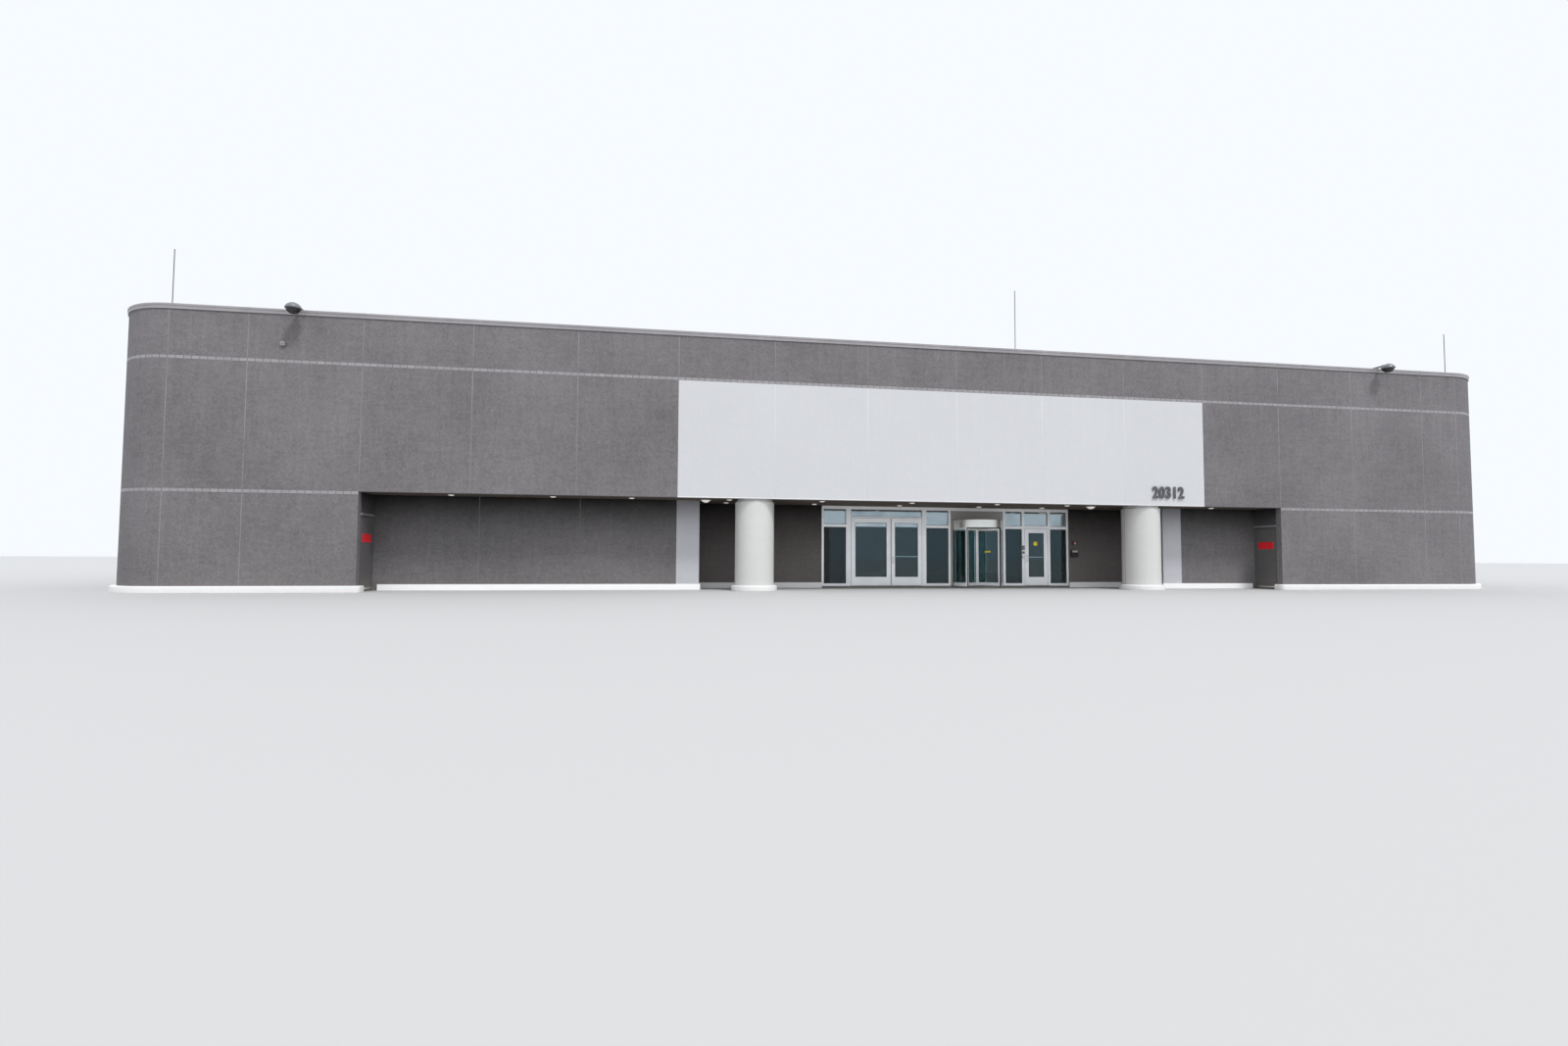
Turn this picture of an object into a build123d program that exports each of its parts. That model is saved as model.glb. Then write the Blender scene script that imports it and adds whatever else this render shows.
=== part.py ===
# Single-storey retail building with a recessed entrance, as a 1:2 scale model.
#
# Every length is in millimetres of the model, so the real building is twice as
# large: a wall panel of 1524 here is 3048 mm (10 feet) on the building.
# X runs along the front from left to right, Y runs into the building, Z is up.
# The origin is on the ground, in the middle of the plan.
from build123d import *
from math import cos, degrees, radians, sin
import os

# Plan of the outer walls
panel_width = 1524
front_panels = 13
left_end_flat = 1014
right_end_flat = 765
side_panels = 8
corner_radius = 914
wall_thickness = 110

# Heights of the outer walls
wall_height = 4000
soffit_height = 1459
upper_belt_drop = 685
lower_belt_drop = 21
belt_height = 48

# Joints between wall panels, and the tile belts laid into the walls
joint_width = 11
joint_depth = 4
belt_groove = 12
belt_thickness = 10

# Coping on top of the walls
coping_height = 70
coping_overhang = 14
coping_leg = 10
coping_leg_drop = 5
coping_step = 6
coping_fall = 8

# White plinths at the foot of the walls
plinth_height = 95
plinth_projection = 75
plinth_bevel = 12
plinth_wrap = 100
recess_plinth_projection = 20
recess_plinth_gap = 75

# Recess in the front, deeper in the middle, and the light fascia over its middle
panels_before_recess = 1
recess_panels = 10
panels_before_fascia = 4
fascia_panels = 6
recess_depth = 610
entrance_depth = 1300
pier_width = 370

# Floor, roof deck and soffit
floor_thickness = 30
roof_thickness = 100
parapet_rise = 340
soffit_thickness = 30
seat_gap = 0.3

# Round columns under the fascia
column_radius = 315
column_neck_radius = 288
column_neck_height = 42
column_set_back = 340
left_column_inset = 875
right_column_inset = 630
column_base_radius = 368
column_base_height = 85

# Ceiling lights in the soffit. Those of the outer parts are placed in panels from the
# end of the recess, those of the entrance in shares of the way between the columns.
downlight_radius = 40
downlight_flange = 10
downlight_flange_thickness = 3
downlight_height = 61
downlight_lens_set_back = 16
front_light_row = 330
back_light_row = 965
left_part_lights = (0.772, 1.75, 2.534)
right_part_light = 0.737
pier_light_offset = 410
front_light_shares = (0.162, 0.386, 0.607, 0.795)
back_light_shares = (0.162, 0.385, 0.6, 0.777)
dome_radius = 75
dome_drop = 42
dome_row = 500
left_dome_offset = 780
right_dome_offset = 859

# Storefront: aluminium frame with glass, doors and a revolving door
storefront_inset = 2198
frame_set_back = 20
frame_depth = 57
first_post_width = 43
storefront_bays = (
    ("sidelight_1", 408, 90),
    ("double_door", 1335, 80),
    ("sidelight_2", 426, 40),
    ("revolving_door", 1028, 45),
    ("sidelight_3", 330, 50),
    ("single_door", 467, 50),
    ("sidelight_4", 330, 40),
)
head_height = 55
sill_height = 45
transom_height = 50
sidelight_top_light = 271
double_door_top_light = 129
single_door_top_light = 259
glass_thickness = 12

# Hinged doors
leaf_thickness = 22
leaf_gap = 6
meeting_gap = 7
stile_width = 75
top_rail = 84
bottom_rail = 155
double_header = 20
wide_leaf_width = 732
single_header = 45
fire_leaf_height = 1067
door_jamb = 16.5
door_stop = 8
door_stop_depth = 15
fire_lock_inset = 30
fire_lock_height = 545

# Hinges
knuckle_radius = 5
knuckle_length = 24
hinge_plate_width = 15
hinge_plate_thickness = 2
hinge_inset = 120

# Door furniture
pull_bar_radius = 7
pull_bow_radius = 55
pull_foot_radius = 12
pull_foot_thickness = 4
double_pull_height = 497
single_pull_height = 540
cylinder_radius = 12
cylinder_length = 6
cylinder_height = 634
push_bar_height = 560
push_bar_size = 14
push_bar_stand_off = 30

# Revolving door
drum_radius = 457
drum_glass_thickness = 8
drum_post_width = 22
drum_rail_height = 30
drum_kick_height = 60
canopy_panel_height = 176
canopy_height = 148
canopy_rim = 10
canopy_reveal = 5
canopy_rib = 4
drum_floor_rim = 12
wing_clearance = 6
wing_thickness = 18
wing_stile = 26
wing_top_rail = 34
wing_bottom_rail = 58
wing_count = 4
wing_rest_angle = 45
seal_width = 9
seal_thickness = 8
shaft_radius = 17
pivot_radius = 9

# Floodlights and rods on the parapet, boxes on the walls
lamp_side_distance = 2590
lamp_reach = 190
lamp_radius = 106
lamp_crown_rise = 74
lamp_crown_cover = 4
lamp_skirt = 12
lamp_bowl_radius = 92
lamp_bowl_drop = 74
lamp_arm_radius = 16
lamp_arm_clearance = 10
lamp_post_gap = 5
lamp_clamp_drops = (80, 260)
lamp_clamp_width = 60
lamp_clamp_height = 50
lamp_post_end = 20
rod_radius = 6
rod_foot_radius = 20
rod_foot_height = 12
left_rod_height = 800
middle_rod_height = 1025
right_rod_height = 750
middle_rod_panels = 7.709
right_rod_inset = 125
alarm_width = 72
alarm_height = 60
alarm_depth = 22
alarm_level = 828
post_box_size = 130
post_box_depth = 45
post_box_level = 628
wall_box_inset = 95
sensor_size = 60
sensor_depth = 30
sensor_drop = 434
sensor_offset = 461
keypad_width = 42
keypad_height = 80
keypad_depth = 12
keypad_level = 735
bell_radius = 22
bell_depth = 10
bell_level = 645
switch_radius = 24
switch_level = 560

os.makedirs("parts", exist_ok=True)

# Places worked out from the sizes above
front_flat = left_end_flat + front_panels * panel_width + right_end_flat
side_flat = side_panels * panel_width
half_width = front_flat / 2 + corner_radius
half_depth = side_flat / 2 + corner_radius
front = -half_depth


def joint_x(panels):
    """Place along the front of the joint after so many panels, the first joint being 0."""
    return -front_flat / 2 + left_end_flat + panels * panel_width


recess_left = joint_x(panels_before_recess)
recess_right = joint_x(panels_before_recess + recess_panels)
fascia_left = joint_x(panels_before_fascia)
fascia_right = joint_x(panels_before_fascia + fascia_panels)
entrance_left = fascia_left + pier_width
entrance_right = fascia_right - pier_width
recess_y = front + recess_depth
entrance_y = front + entrance_depth
upper_belt_bottom = wall_height - upper_belt_drop - belt_height / 2
lower_belt_bottom = soffit_height - lower_belt_drop - belt_height / 2

front_face = Plane((0, -half_depth, 0), x_dir=(1, 0, 0), z_dir=(0, -1, 0))
right_face = Plane((half_width, 0, 0), x_dir=(0, 1, 0), z_dir=(1, 0, 0))
back_face = Plane((0, half_depth, 0), x_dir=(-1, 0, 0), z_dir=(0, 1, 0))
left_face = Plane((-half_width, 0, 0), x_dir=(0, -1, 0), z_dir=(-1, 0, 0))
corner_x = front_flat / 2
corner_y = side_flat / 2
corners = {
    "front_right": (corner_x, -corner_y, 270),
    "back_right": (corner_x, corner_y, 0),
    "back_left": (-corner_x, corner_y, 90),
    "front_left": (-corner_x, -corner_y, 180),
}


def save(piece, label):
    """Name a finished piece and write it to its own file."""
    piece.part.label = label
    export_step(piece.part, f"parts/{label}.step")


def block(x_start, x_end, y_start, y_end, z_start, z_end, mode=Mode.ADD):
    """Straight block between two corners, inside the current part."""
    middle = ((x_start + x_end) / 2, (y_start + y_end) / 2, (z_start + z_end) / 2)
    with Locations(middle):
        Box(x_end - x_start, y_end - y_start, z_end - z_start, mode=mode)


def upright(x, y, z_start, z_end, radius, mode=Mode.ADD):
    """Round bar standing at a place, inside the current part."""
    with Locations((x, y, (z_start + z_end) / 2)):
        Cylinder(radius, z_end - z_start, mode=mode)


def corner_plane(corner):
    """Upright plane through a corner's centre, where its quarter turn starts."""
    x, y, angle = corners[corner]
    across = (cos(radians(angle)), sin(radians(angle)), 0)
    return Plane((x, y, 0), x_dir=across, z_dir=(across[1], -across[0], 0))


def corner_axis(corner):
    x, y, _ = corners[corner]
    return Axis((x, y, 0), (0, 0, 1))


# Outer walls
def wall_patch(face, start, end, bottom, top):
    """Rectangle on an outer face, between two places along it and two heights."""
    with BuildSketch(face) as patch:
        with Locations(((start + end) / 2, (bottom + top) / 2)):
            Rectangle(end - start, top - bottom)
    return patch.sketch


def flat_wall(face, start, end, bottom, top, joints, belts):
    """Flat wall with open joints between its panels and grooves for the belts."""
    extrude(wall_patch(face, start, end, bottom, top), amount=-wall_thickness)
    for place in joints:
        if start + joint_width < place < end - joint_width:
            extrude(wall_patch(face, place - joint_width / 2, place + joint_width / 2,
                               bottom, top), amount=-joint_depth, mode=Mode.SUBTRACT)
    for belt_bottom in belts:
        extrude(wall_patch(face, start, end, belt_bottom, belt_bottom + belt_height),
                amount=-belt_groove, mode=Mode.SUBTRACT)


both_belts = (upper_belt_bottom, lower_belt_bottom)
front_joints = [joint_x(panels) for panels in range(front_panels + 1)]
side_joints = [-side_flat / 2 + count * panel_width for count in range(1, side_panels)]
back_joints = [-place for place in front_joints]

with BuildPart() as front_walls:
    flat_wall(front_face, -corner_x, recess_left, 0, wall_height, front_joints, both_belts)
    flat_wall(front_face, recess_right, corner_x, 0, wall_height, front_joints, both_belts)
save(front_walls, "front_walls")

with BuildPart() as parapet_wall:
    flat_wall(front_face, recess_left, recess_right, upper_belt_bottom, wall_height,
              front_joints, (upper_belt_bottom,))
save(parapet_wall, "parapet_wall_front")

with BuildPart() as header_walls:
    flat_wall(front_face, recess_left, fascia_left, soffit_height, upper_belt_bottom,
              front_joints, ())
    flat_wall(front_face, fascia_right, recess_right, soffit_height, upper_belt_bottom,
              front_joints, ())
save(header_walls, "header_walls")

with BuildPart() as entrance_fascia:
    flat_wall(front_face, fascia_left, fascia_right, soffit_height, upper_belt_bottom,
              front_joints, ())
save(entrance_fascia, "entrance_fascia")

with BuildPart() as side_walls:
    for face in (left_face, right_face):
        flat_wall(face, -corner_y, corner_y, 0, wall_height, side_joints, both_belts)
save(side_walls, "side_walls")

with BuildPart() as back_wall:
    flat_wall(back_face, -corner_x, corner_x, 0, wall_height, back_joints, both_belts)
save(back_wall, "back_wall")

with BuildPart() as corner_walls:
    for corner in corners:
        with BuildSketch(corner_plane(corner)):
            with Locations((corner_radius - wall_thickness, 0)):
                Rectangle(wall_thickness, wall_height, align=(Align.MIN, Align.MIN))
            for belt_bottom in both_belts:
                with Locations((corner_radius - belt_groove, belt_bottom)):
                    Rectangle(belt_groove, belt_height, align=(Align.MIN, Align.MIN),
                              mode=Mode.SUBTRACT)
        revolve(axis=corner_axis(corner), revolution_arc=90)
save(corner_walls, "corner_walls")


# Tile belts around the building
def belt_ring(bottom):
    """Ring of belt tiles lying in the groove, with its face set back a little."""
    set_back = belt_groove - belt_thickness
    with BuildSketch(Plane.XY.offset(bottom)) as ring:
        RectangleRounded(2 * (half_width - set_back), 2 * (half_depth - set_back),
                         corner_radius - set_back)
        RectangleRounded(2 * (half_width - belt_groove), 2 * (half_depth - belt_groove),
                         corner_radius - belt_groove, mode=Mode.SUBTRACT)
    extrude(ring.sketch, amount=belt_height)


with BuildPart() as tile_belts:
    belt_ring(lower_belt_bottom)
    block(recess_left, recess_right, front, front + 2 * belt_groove,
          lower_belt_bottom, lower_belt_bottom + belt_height, Mode.SUBTRACT)
    belt_ring(upper_belt_bottom)
save(tile_belts, "tile_belts")


# Coping
def coping_profile(outer):
    """Section of the metal coping, with the wall's outer face at the given place."""
    inner = outer - wall_thickness
    gap = coping_overhang - coping_leg
    top = wall_height + coping_height
    with BuildLine() as outline:
        Polyline(
            (outer + gap, wall_height),
            (outer + gap, wall_height - coping_leg_drop),
            (outer + coping_overhang, wall_height - coping_leg_drop),
            (outer + coping_overhang, wall_height + coping_height / 2),
            (outer + coping_overhang + coping_step, wall_height + coping_height / 2 + coping_step),
            (outer + coping_overhang + coping_step, top - coping_step),
            (outer + coping_overhang, top),
            (inner - coping_overhang, top - coping_fall),
            (inner - coping_overhang, wall_height - coping_leg_drop),
            (inner - gap, wall_height - coping_leg_drop),
            (inner - gap, wall_height),
            close=True,
        )
    make_face(outline.edges())


with BuildPart() as coping_straights:
    for x_start, x_end, angle in ((-corner_x, corner_x, 270), (-corner_x, corner_x, 90)):
        across = (0, sin(radians(angle)), 0)
        with BuildSketch(Plane((x_start, corner_y * across[1], 0), x_dir=across,
                               z_dir=(across[1], 0, 0))):
            coping_profile(corner_radius)
        extrude(amount=(x_end - x_start) * across[1])
    for side in (-1, 1):
        with BuildSketch(Plane((corner_x * side, corner_y * side, 0), x_dir=(side, 0, 0),
                               z_dir=(0, -side, 0))):
            coping_profile(corner_radius)
        extrude(amount=side_flat)
save(coping_straights, "coping_straights")

with BuildPart() as coping_corners:
    for corner in corners:
        with BuildSketch(corner_plane(corner)):
            coping_profile(corner_radius)
        revolve(axis=corner_axis(corner), revolution_arc=90)
save(coping_corners, "coping_corners")


# Plinths
def plinth_profile(outer):
    """Section of the plinth, with the wall's outer face at the given place."""
    with BuildLine() as outline:
        Polyline(
            (outer, 0),
            (outer + plinth_projection, 0),
            (outer + plinth_projection, plinth_height - plinth_bevel),
            (outer + plinth_projection - plinth_bevel, plinth_height),
            (outer, plinth_height),
            close=True,
        )
    make_face(outline.edges())


def plinth_end(x, side, start_angle):
    """Round turn of the front plinth into the recess, with a short run after it."""
    across = (cos(radians(start_angle)), sin(radians(start_angle)), 0)
    with BuildSketch(Plane((x, front, 0), x_dir=across,
                           z_dir=(across[1], -across[0], 0))) as turn:
        plinth_profile(0)
    revolve(turn.sketch, axis=Axis((x, front, 0), (0, 0, 1)), revolution_arc=90)
    with BuildSketch(Plane((x, front, 0), x_dir=(side, 0, 0), z_dir=(0, -side, 0))) as run:
        plinth_profile(0)
    extrude(run.sketch, amount=-side * plinth_wrap)


with BuildPart() as plinth_straights:
    with BuildSketch(Plane((-corner_x, 0, 0), x_dir=(0, -1, 0), z_dir=(-1, 0, 0))):
        plinth_profile(half_depth)
    extrude(amount=-(recess_left + corner_x))
    plinth_end(recess_left, 1, 270)
    with BuildSketch(Plane((recess_right, 0, 0), x_dir=(0, -1, 0), z_dir=(-1, 0, 0))):
        plinth_profile(half_depth)
    extrude(amount=-(corner_x - recess_right))
    plinth_end(recess_right, -1, 180)
    with BuildSketch(Plane((corner_x, 0, 0), x_dir=(0, 1, 0), z_dir=(1, 0, 0))):
        plinth_profile(half_depth)
    extrude(amount=-front_flat)
    for side in (-1, 1):
        with BuildSketch(Plane((0, corner_y * side, 0), x_dir=(side, 0, 0),
                               z_dir=(0, -side, 0))):
            plinth_profile(half_width)
        extrude(amount=side_flat)
save(plinth_straights, "plinth_straights")

with BuildPart() as plinth_corners:
    for corner in corners:
        with BuildSketch(corner_plane(corner)):
            plinth_profile(corner_radius)
        revolve(axis=corner_axis(corner), revolution_arc=90)
save(plinth_corners, "plinth_corners")


# Walls around the recess
storefront_left = entrance_left + storefront_inset
bay_left, bay_right, post_edges = {}, {}, [(storefront_left, storefront_left + first_post_width)]
for bay, bay_width, post_width in storefront_bays:
    bay_left[bay] = post_edges[-1][1]
    bay_right[bay] = bay_left[bay] + bay_width
    post_edges.append((bay_right[bay], bay_right[bay] + post_width))
storefront_right = post_edges[-1][1]
opening_start = front + wall_thickness
door_opening_top = floor_thickness + fire_leaf_height + 2 * leaf_gap + door_jamb

recess_face = Plane((0, recess_y, 0), x_dir=(1, 0, 0), z_dir=(0, -1, 0))
recess_joints = [place for place in front_joints if recess_left < place < recess_right]

with BuildPart() as recess_walls:
    flat_wall(recess_face, recess_left - wall_thickness, fascia_left, 0, soffit_height,
              recess_joints, ())
    flat_wall(recess_face, fascia_right, recess_right + wall_thickness, 0, soffit_height,
              recess_joints, ())
save(recess_walls, "recess_walls")

with BuildPart() as light_piers:
    block(fascia_left, entrance_left, recess_y, recess_y + wall_thickness, 0, soffit_height)
    block(entrance_right, fascia_right, recess_y, recess_y + wall_thickness, 0, soffit_height)
save(light_piers, "light_piers")

with BuildPart() as entrance_side_walls:
    block(entrance_left - wall_thickness, entrance_left,
          recess_y + wall_thickness, entrance_y, 0, soffit_height)
    block(entrance_right, entrance_right + wall_thickness,
          recess_y + wall_thickness, entrance_y, 0, soffit_height)
save(entrance_side_walls, "entrance_side_walls")

with BuildPart() as entrance_walls:
    block(entrance_left - wall_thickness, storefront_left,
          entrance_y, entrance_y + wall_thickness, 0, soffit_height)
    block(storefront_right, entrance_right + wall_thickness,
          entrance_y, entrance_y + wall_thickness, 0, soffit_height)
save(entrance_walls, "entrance_walls")

with BuildPart() as fire_door_lintels:
    block(recess_left - wall_thickness, recess_left, opening_start, recess_y,
          door_opening_top, soffit_height)
    block(recess_right, recess_right + wall_thickness, opening_start, recess_y,
          door_opening_top, soffit_height)
save(fire_door_lintels, "fire_door_lintels")


def recess_plinth(outer_end, pier_edge, storefront_edge):
    """Low plinth along one half of the recess, stepping back with the walls."""
    step = recess_plinth_projection
    inner_face = pier_edge + (step if storefront_edge > pier_edge else -step)
    for x_ends, y_start, y_end in (
        ((outer_end, pier_edge), recess_y - step, recess_y),
        ((pier_edge, inner_face), recess_y - step, entrance_y),
        ((pier_edge, storefront_edge), entrance_y - step, entrance_y),
    ):
        block(*sorted(x_ends), y_start, y_end, 0, plinth_height)


with BuildPart() as recess_plinths:
    recess_plinth(recess_left + recess_plinth_gap, entrance_left, storefront_left)
    recess_plinth(recess_right - recess_plinth_gap, entrance_right, storefront_right)
save(recess_plinths, "recess_plinths")

# Storefront levels, all hanging from the soffit
frame_front = entrance_y + frame_set_back
frame_back = frame_front + frame_depth
frame_middle = (frame_front + frame_back) / 2
head_bottom = soffit_height - head_height
transom_top = head_bottom - sidelight_top_light
transom_bottom = transom_top - transom_height
double_header_bottom = head_bottom - double_door_top_light - double_header
double_leaf_top = double_header_bottom - leaf_gap
single_header_bottom = head_bottom - single_door_top_light - single_header
single_leaf_top = single_header_bottom - leaf_gap
leaf_bottom = floor_thickness + leaf_gap
canopy_top = head_bottom - canopy_panel_height
canopy_bottom = canopy_top - canopy_height
drum_x = (bay_left["revolving_door"] + bay_right["revolving_door"]) / 2
drum_y = frame_middle
drum_outer_radius = drum_radius + drum_floor_rim

# Floor, roof deck and soffit
with BuildPart() as floor_slab:
    inset = wall_thickness + seat_gap
    with BuildSketch():
        RectangleRounded(2 * (half_width - inset), 2 * (half_depth - inset),
                         corner_radius - inset)
    extrude(amount=floor_thickness)
    block(recess_left - wall_thickness, recess_right + wall_thickness,
          front, recess_y + wall_thickness, 0, floor_thickness, Mode.SUBTRACT)
    block(entrance_left - wall_thickness, entrance_right + wall_thickness,
          recess_y, entrance_y + wall_thickness, 0, floor_thickness, Mode.SUBTRACT)
    block(storefront_left, storefront_right, entrance_y, entrance_y + wall_thickness,
          0, floor_thickness)
    block(recess_left - wall_thickness, recess_left, opening_start, recess_y,
          0, floor_thickness)
    block(recess_right, recess_right + wall_thickness, opening_start, recess_y,
          0, floor_thickness)
    upright(drum_x, drum_y, 0, floor_thickness, drum_outer_radius + seat_gap, Mode.SUBTRACT)
save(floor_slab, "floor_slab")

with BuildPart() as roof_deck:
    with BuildSketch(Plane.XY.offset(wall_height - parapet_rise - roof_thickness)):
        RectangleRounded(2 * (half_width - inset), 2 * (half_depth - inset),
                         corner_radius - inset)
    extrude(amount=roof_thickness)
save(roof_deck, "roof_deck")

column_y = front + column_set_back
left_column_x = entrance_left + left_column_inset
right_column_x = entrance_right - right_column_inset
column_span = right_column_x - left_column_x
front_light_row_x = [
    *(recess_left + panels * panel_width for panels in left_part_lights),
    left_column_x - pier_light_offset,
    *(left_column_x + share * column_span for share in front_light_shares),
    recess_right - right_part_light * panel_width,
]
back_light_row_x = [
    left_column_x - pier_light_offset,
    *(left_column_x + share * column_span for share in back_light_shares),
]
light_places = [(x, front + front_light_row) for x in front_light_row_x]
light_places += [(x, front + back_light_row) for x in back_light_row_x]

with BuildPart() as soffit:
    block(recess_left - wall_thickness, recess_right + wall_thickness, opening_start,
          recess_y + wall_thickness, soffit_height, soffit_height + soffit_thickness)
    block(entrance_left - wall_thickness, entrance_right + wall_thickness, opening_start,
          entrance_y + wall_thickness, soffit_height, soffit_height + soffit_thickness)
    with BuildSketch(Plane.XY.offset(soffit_height)):
        with Locations(*light_places):
            Circle(downlight_radius + seat_gap)
    extrude(amount=soffit_thickness, mode=Mode.SUBTRACT)
save(soffit, "soffit")

with BuildPart() as downlights:
    for x, y in light_places:
        flange_bottom = soffit_height - downlight_flange_thickness
        lens = soffit_height + downlight_lens_set_back
        top = soffit_height + downlight_height
        bore = downlight_radius - downlight_flange_thickness
        with BuildSketch(Plane((x, y, 0), x_dir=(1, 0, 0), z_dir=(0, -1, 0))):
            with BuildLine():
                Polyline(
                    (0, top),
                    (downlight_radius, top),
                    (downlight_radius, soffit_height),
                    (downlight_radius + downlight_flange, soffit_height),
                    (downlight_radius + downlight_flange, flange_bottom),
                    (bore, flange_bottom),
                    (bore - downlight_flange_thickness, lens),
                    (0, lens),
                    close=True,
                )
            make_face()
        revolve(axis=Axis((x, y, 0), (0, 0, 1)))
save(downlights, "downlights")

with BuildPart() as dome_fixtures:
    for x in (left_column_x - left_dome_offset, right_column_x - right_dome_offset):
        y = front + dome_row
        with BuildSketch(Plane((x, y, 0), x_dir=(1, 0, 0), z_dir=(0, -1, 0))):
            with BuildLine():
                rim = soffit_height - downlight_flange_thickness
                TangentArc((0, soffit_height - dome_drop), (dome_radius, rim), tangent=(1, 0))
                Polyline((dome_radius, rim), (dome_radius, soffit_height),
                         (0, soffit_height), (0, soffit_height - dome_drop))
            make_face()
        revolve(axis=Axis((x, y, 0), (0, 0, 1)))
save(dome_fixtures, "dome_lights")

# Columns
with BuildPart() as columns:
    for x in (left_column_x, right_column_x):
        upright(x, column_y, 0, soffit_height - column_neck_height, column_radius)
        upright(x, column_y, soffit_height - column_neck_height, soffit_height,
                column_neck_radius)
save(columns, "columns")

with BuildPart() as column_bases:
    for x in (left_column_x, right_column_x):
        with BuildSketch():
            with Locations((x, column_y)):
                Circle(column_base_radius)
                Circle(column_radius + seat_gap, mode=Mode.SUBTRACT)
        extrude(amount=column_base_height)
    top_edges = column_bases.edges().group_by(Axis.Z)[-1]
    chamfer(top_edges.filter_by(lambda edge: edge.radius == column_base_radius), plinth_bevel)
save(column_bases, "column_base_rings")


# Storefront frame
def hinge_levels(top):
    """Heights of the three hinges of a leaf with the given top."""
    low, high = leaf_bottom + hinge_inset, top - hinge_inset
    return low, (low + high) / 2, high


def hinge_half(x, y, along, outward, level, upper):
    """Half of a butt hinge: a knuckle on the pin's axis and a plate on the face beside it.

    along points from the axis over the plate, outward points away from the face.
    """
    start = level + seat_gap / 2 if upper else level - knuckle_length
    end = level + knuckle_length if upper else level - seat_gap / 2
    upright(x, y, start, end, knuckle_radius)
    far_x = x + along[0] * hinge_plate_width - outward[0] * knuckle_radius
    far_y = y + along[1] * hinge_plate_width - outward[1] * knuckle_radius
    near_x = x - outward[0] * (knuckle_radius - hinge_plate_thickness)
    near_y = y - outward[1] * (knuckle_radius - hinge_plate_thickness)
    block(min(near_x, far_x), max(near_x, far_x), min(near_y, far_y), max(near_y, far_y),
          start, end)


hinge_line = frame_front - knuckle_radius
double_left_axis = (bay_left["double_door"] + leaf_gap / 2, hinge_line)
double_right_axis = (bay_right["double_door"] - leaf_gap / 2, hinge_line)
single_axis = (bay_right["single_door"] - leaf_gap / 2, hinge_line)

with BuildPart() as storefront_posts:
    for left, right in post_edges:
        block(left, right, frame_front, frame_back, floor_thickness, head_bottom)
    for level in hinge_levels(double_leaf_top):
        hinge_half(*double_left_axis, (-1, 0), (0, -1), level, upper=False)
        hinge_half(*double_right_axis, (1, 0), (0, -1), level, upper=False)
    for level in hinge_levels(single_leaf_top):
        hinge_half(*single_axis, (1, 0), (0, -1), level, upper=False)
save(storefront_posts, "storefront_posts")

with BuildPart() as storefront_head:
    block(storefront_left, storefront_right, frame_front, frame_back,
          head_bottom, soffit_height)
save(storefront_head, "storefront_head")

# Each glazed opening of the storefront, as its bay, bottom and top
glass_openings = []
with BuildPart() as storefront_rails:
    for bay in ("sidelight_1", "sidelight_2", "sidelight_3", "sidelight_4"):
        left, right = bay_left[bay], bay_right[bay]
        block(left, right, frame_front, frame_back, floor_thickness,
              floor_thickness + sill_height)
        block(left, right, frame_front, frame_back, transom_bottom, transom_top)
        glass_openings.append((bay, floor_thickness + sill_height, transom_bottom))
        glass_openings.append((bay, transom_top, head_bottom))
    for bay, bottom, height in (("double_door", double_header_bottom, double_header),
                                ("single_door", single_header_bottom, single_header)):
        block(bay_left[bay], bay_right[bay], frame_front, frame_back, bottom, bottom + height)
        glass_openings.append((bay, bottom + height, head_bottom))
save(storefront_rails, "storefront_rails")

with BuildPart() as storefront_glass:
    for bay, bottom, top in glass_openings:
        block(bay_left[bay] + seat_gap, bay_right[bay] - seat_gap,
              frame_middle - glass_thickness / 2, frame_middle + glass_thickness / 2,
              bottom + seat_gap, top - seat_gap)
save(storefront_glass, "storefront_glass")


# Glazed doors
def glazed_leaf(left, right, top, axis, along):
    """Aluminium door leaf with its stiles, rails and half-hinges."""
    back = frame_front + leaf_thickness
    with BuildPart() as leaf:
        block(left, right, frame_front, back, leaf_bottom, top)
        block(left + stile_width, right - stile_width, frame_front, back,
              leaf_bottom + bottom_rail, top - top_rail, Mode.SUBTRACT)
        for level in hinge_levels(top):
            hinge_half(*axis, along, (0, -1), level, upper=True)
    return leaf


def leaf_pane(left, right, top):
    """Glass of one door leaf."""
    middle = frame_front + leaf_thickness / 2
    with BuildPart() as pane:
        block(left + stile_width + seat_gap, right - stile_width - seat_gap,
              middle - glass_thickness / 2, middle + glass_thickness / 2,
              leaf_bottom + bottom_rail + seat_gap, top - top_rail - seat_gap)
    return pane


def bow_pull(x, level):
    """Bowed pull on the outer face of a leaf, with a round foot at each end."""
    foot_face = frame_front - pull_foot_thickness
    for end in (-1, 1):
        foot_level = level + end * pull_bow_radius
        with BuildSketch(Plane((x, frame_front, foot_level), x_dir=(1, 0, 0),
                               z_dir=(0, -1, 0))) as foot:
            Circle(pull_foot_radius)
        extrude(foot.sketch, amount=pull_foot_thickness)
    with BuildSketch(Plane((x, foot_face, level - pull_bow_radius), x_dir=(1, 0, 0),
                           z_dir=(0, -1, 0))) as bar:
        Circle(pull_bar_radius)
    revolve(bar.sketch, axis=Axis((x, foot_face, level), (1, 0, 0)), revolution_arc=-180)


def lock_cylinder(x):
    """Round lock cylinder on the outer face of a leaf."""
    with BuildSketch(Plane((x, frame_front, cylinder_height), x_dir=(1, 0, 0),
                           z_dir=(0, -1, 0))) as rose:
        Circle(cylinder_radius)
    extrude(rose.sketch, amount=cylinder_length)


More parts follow.
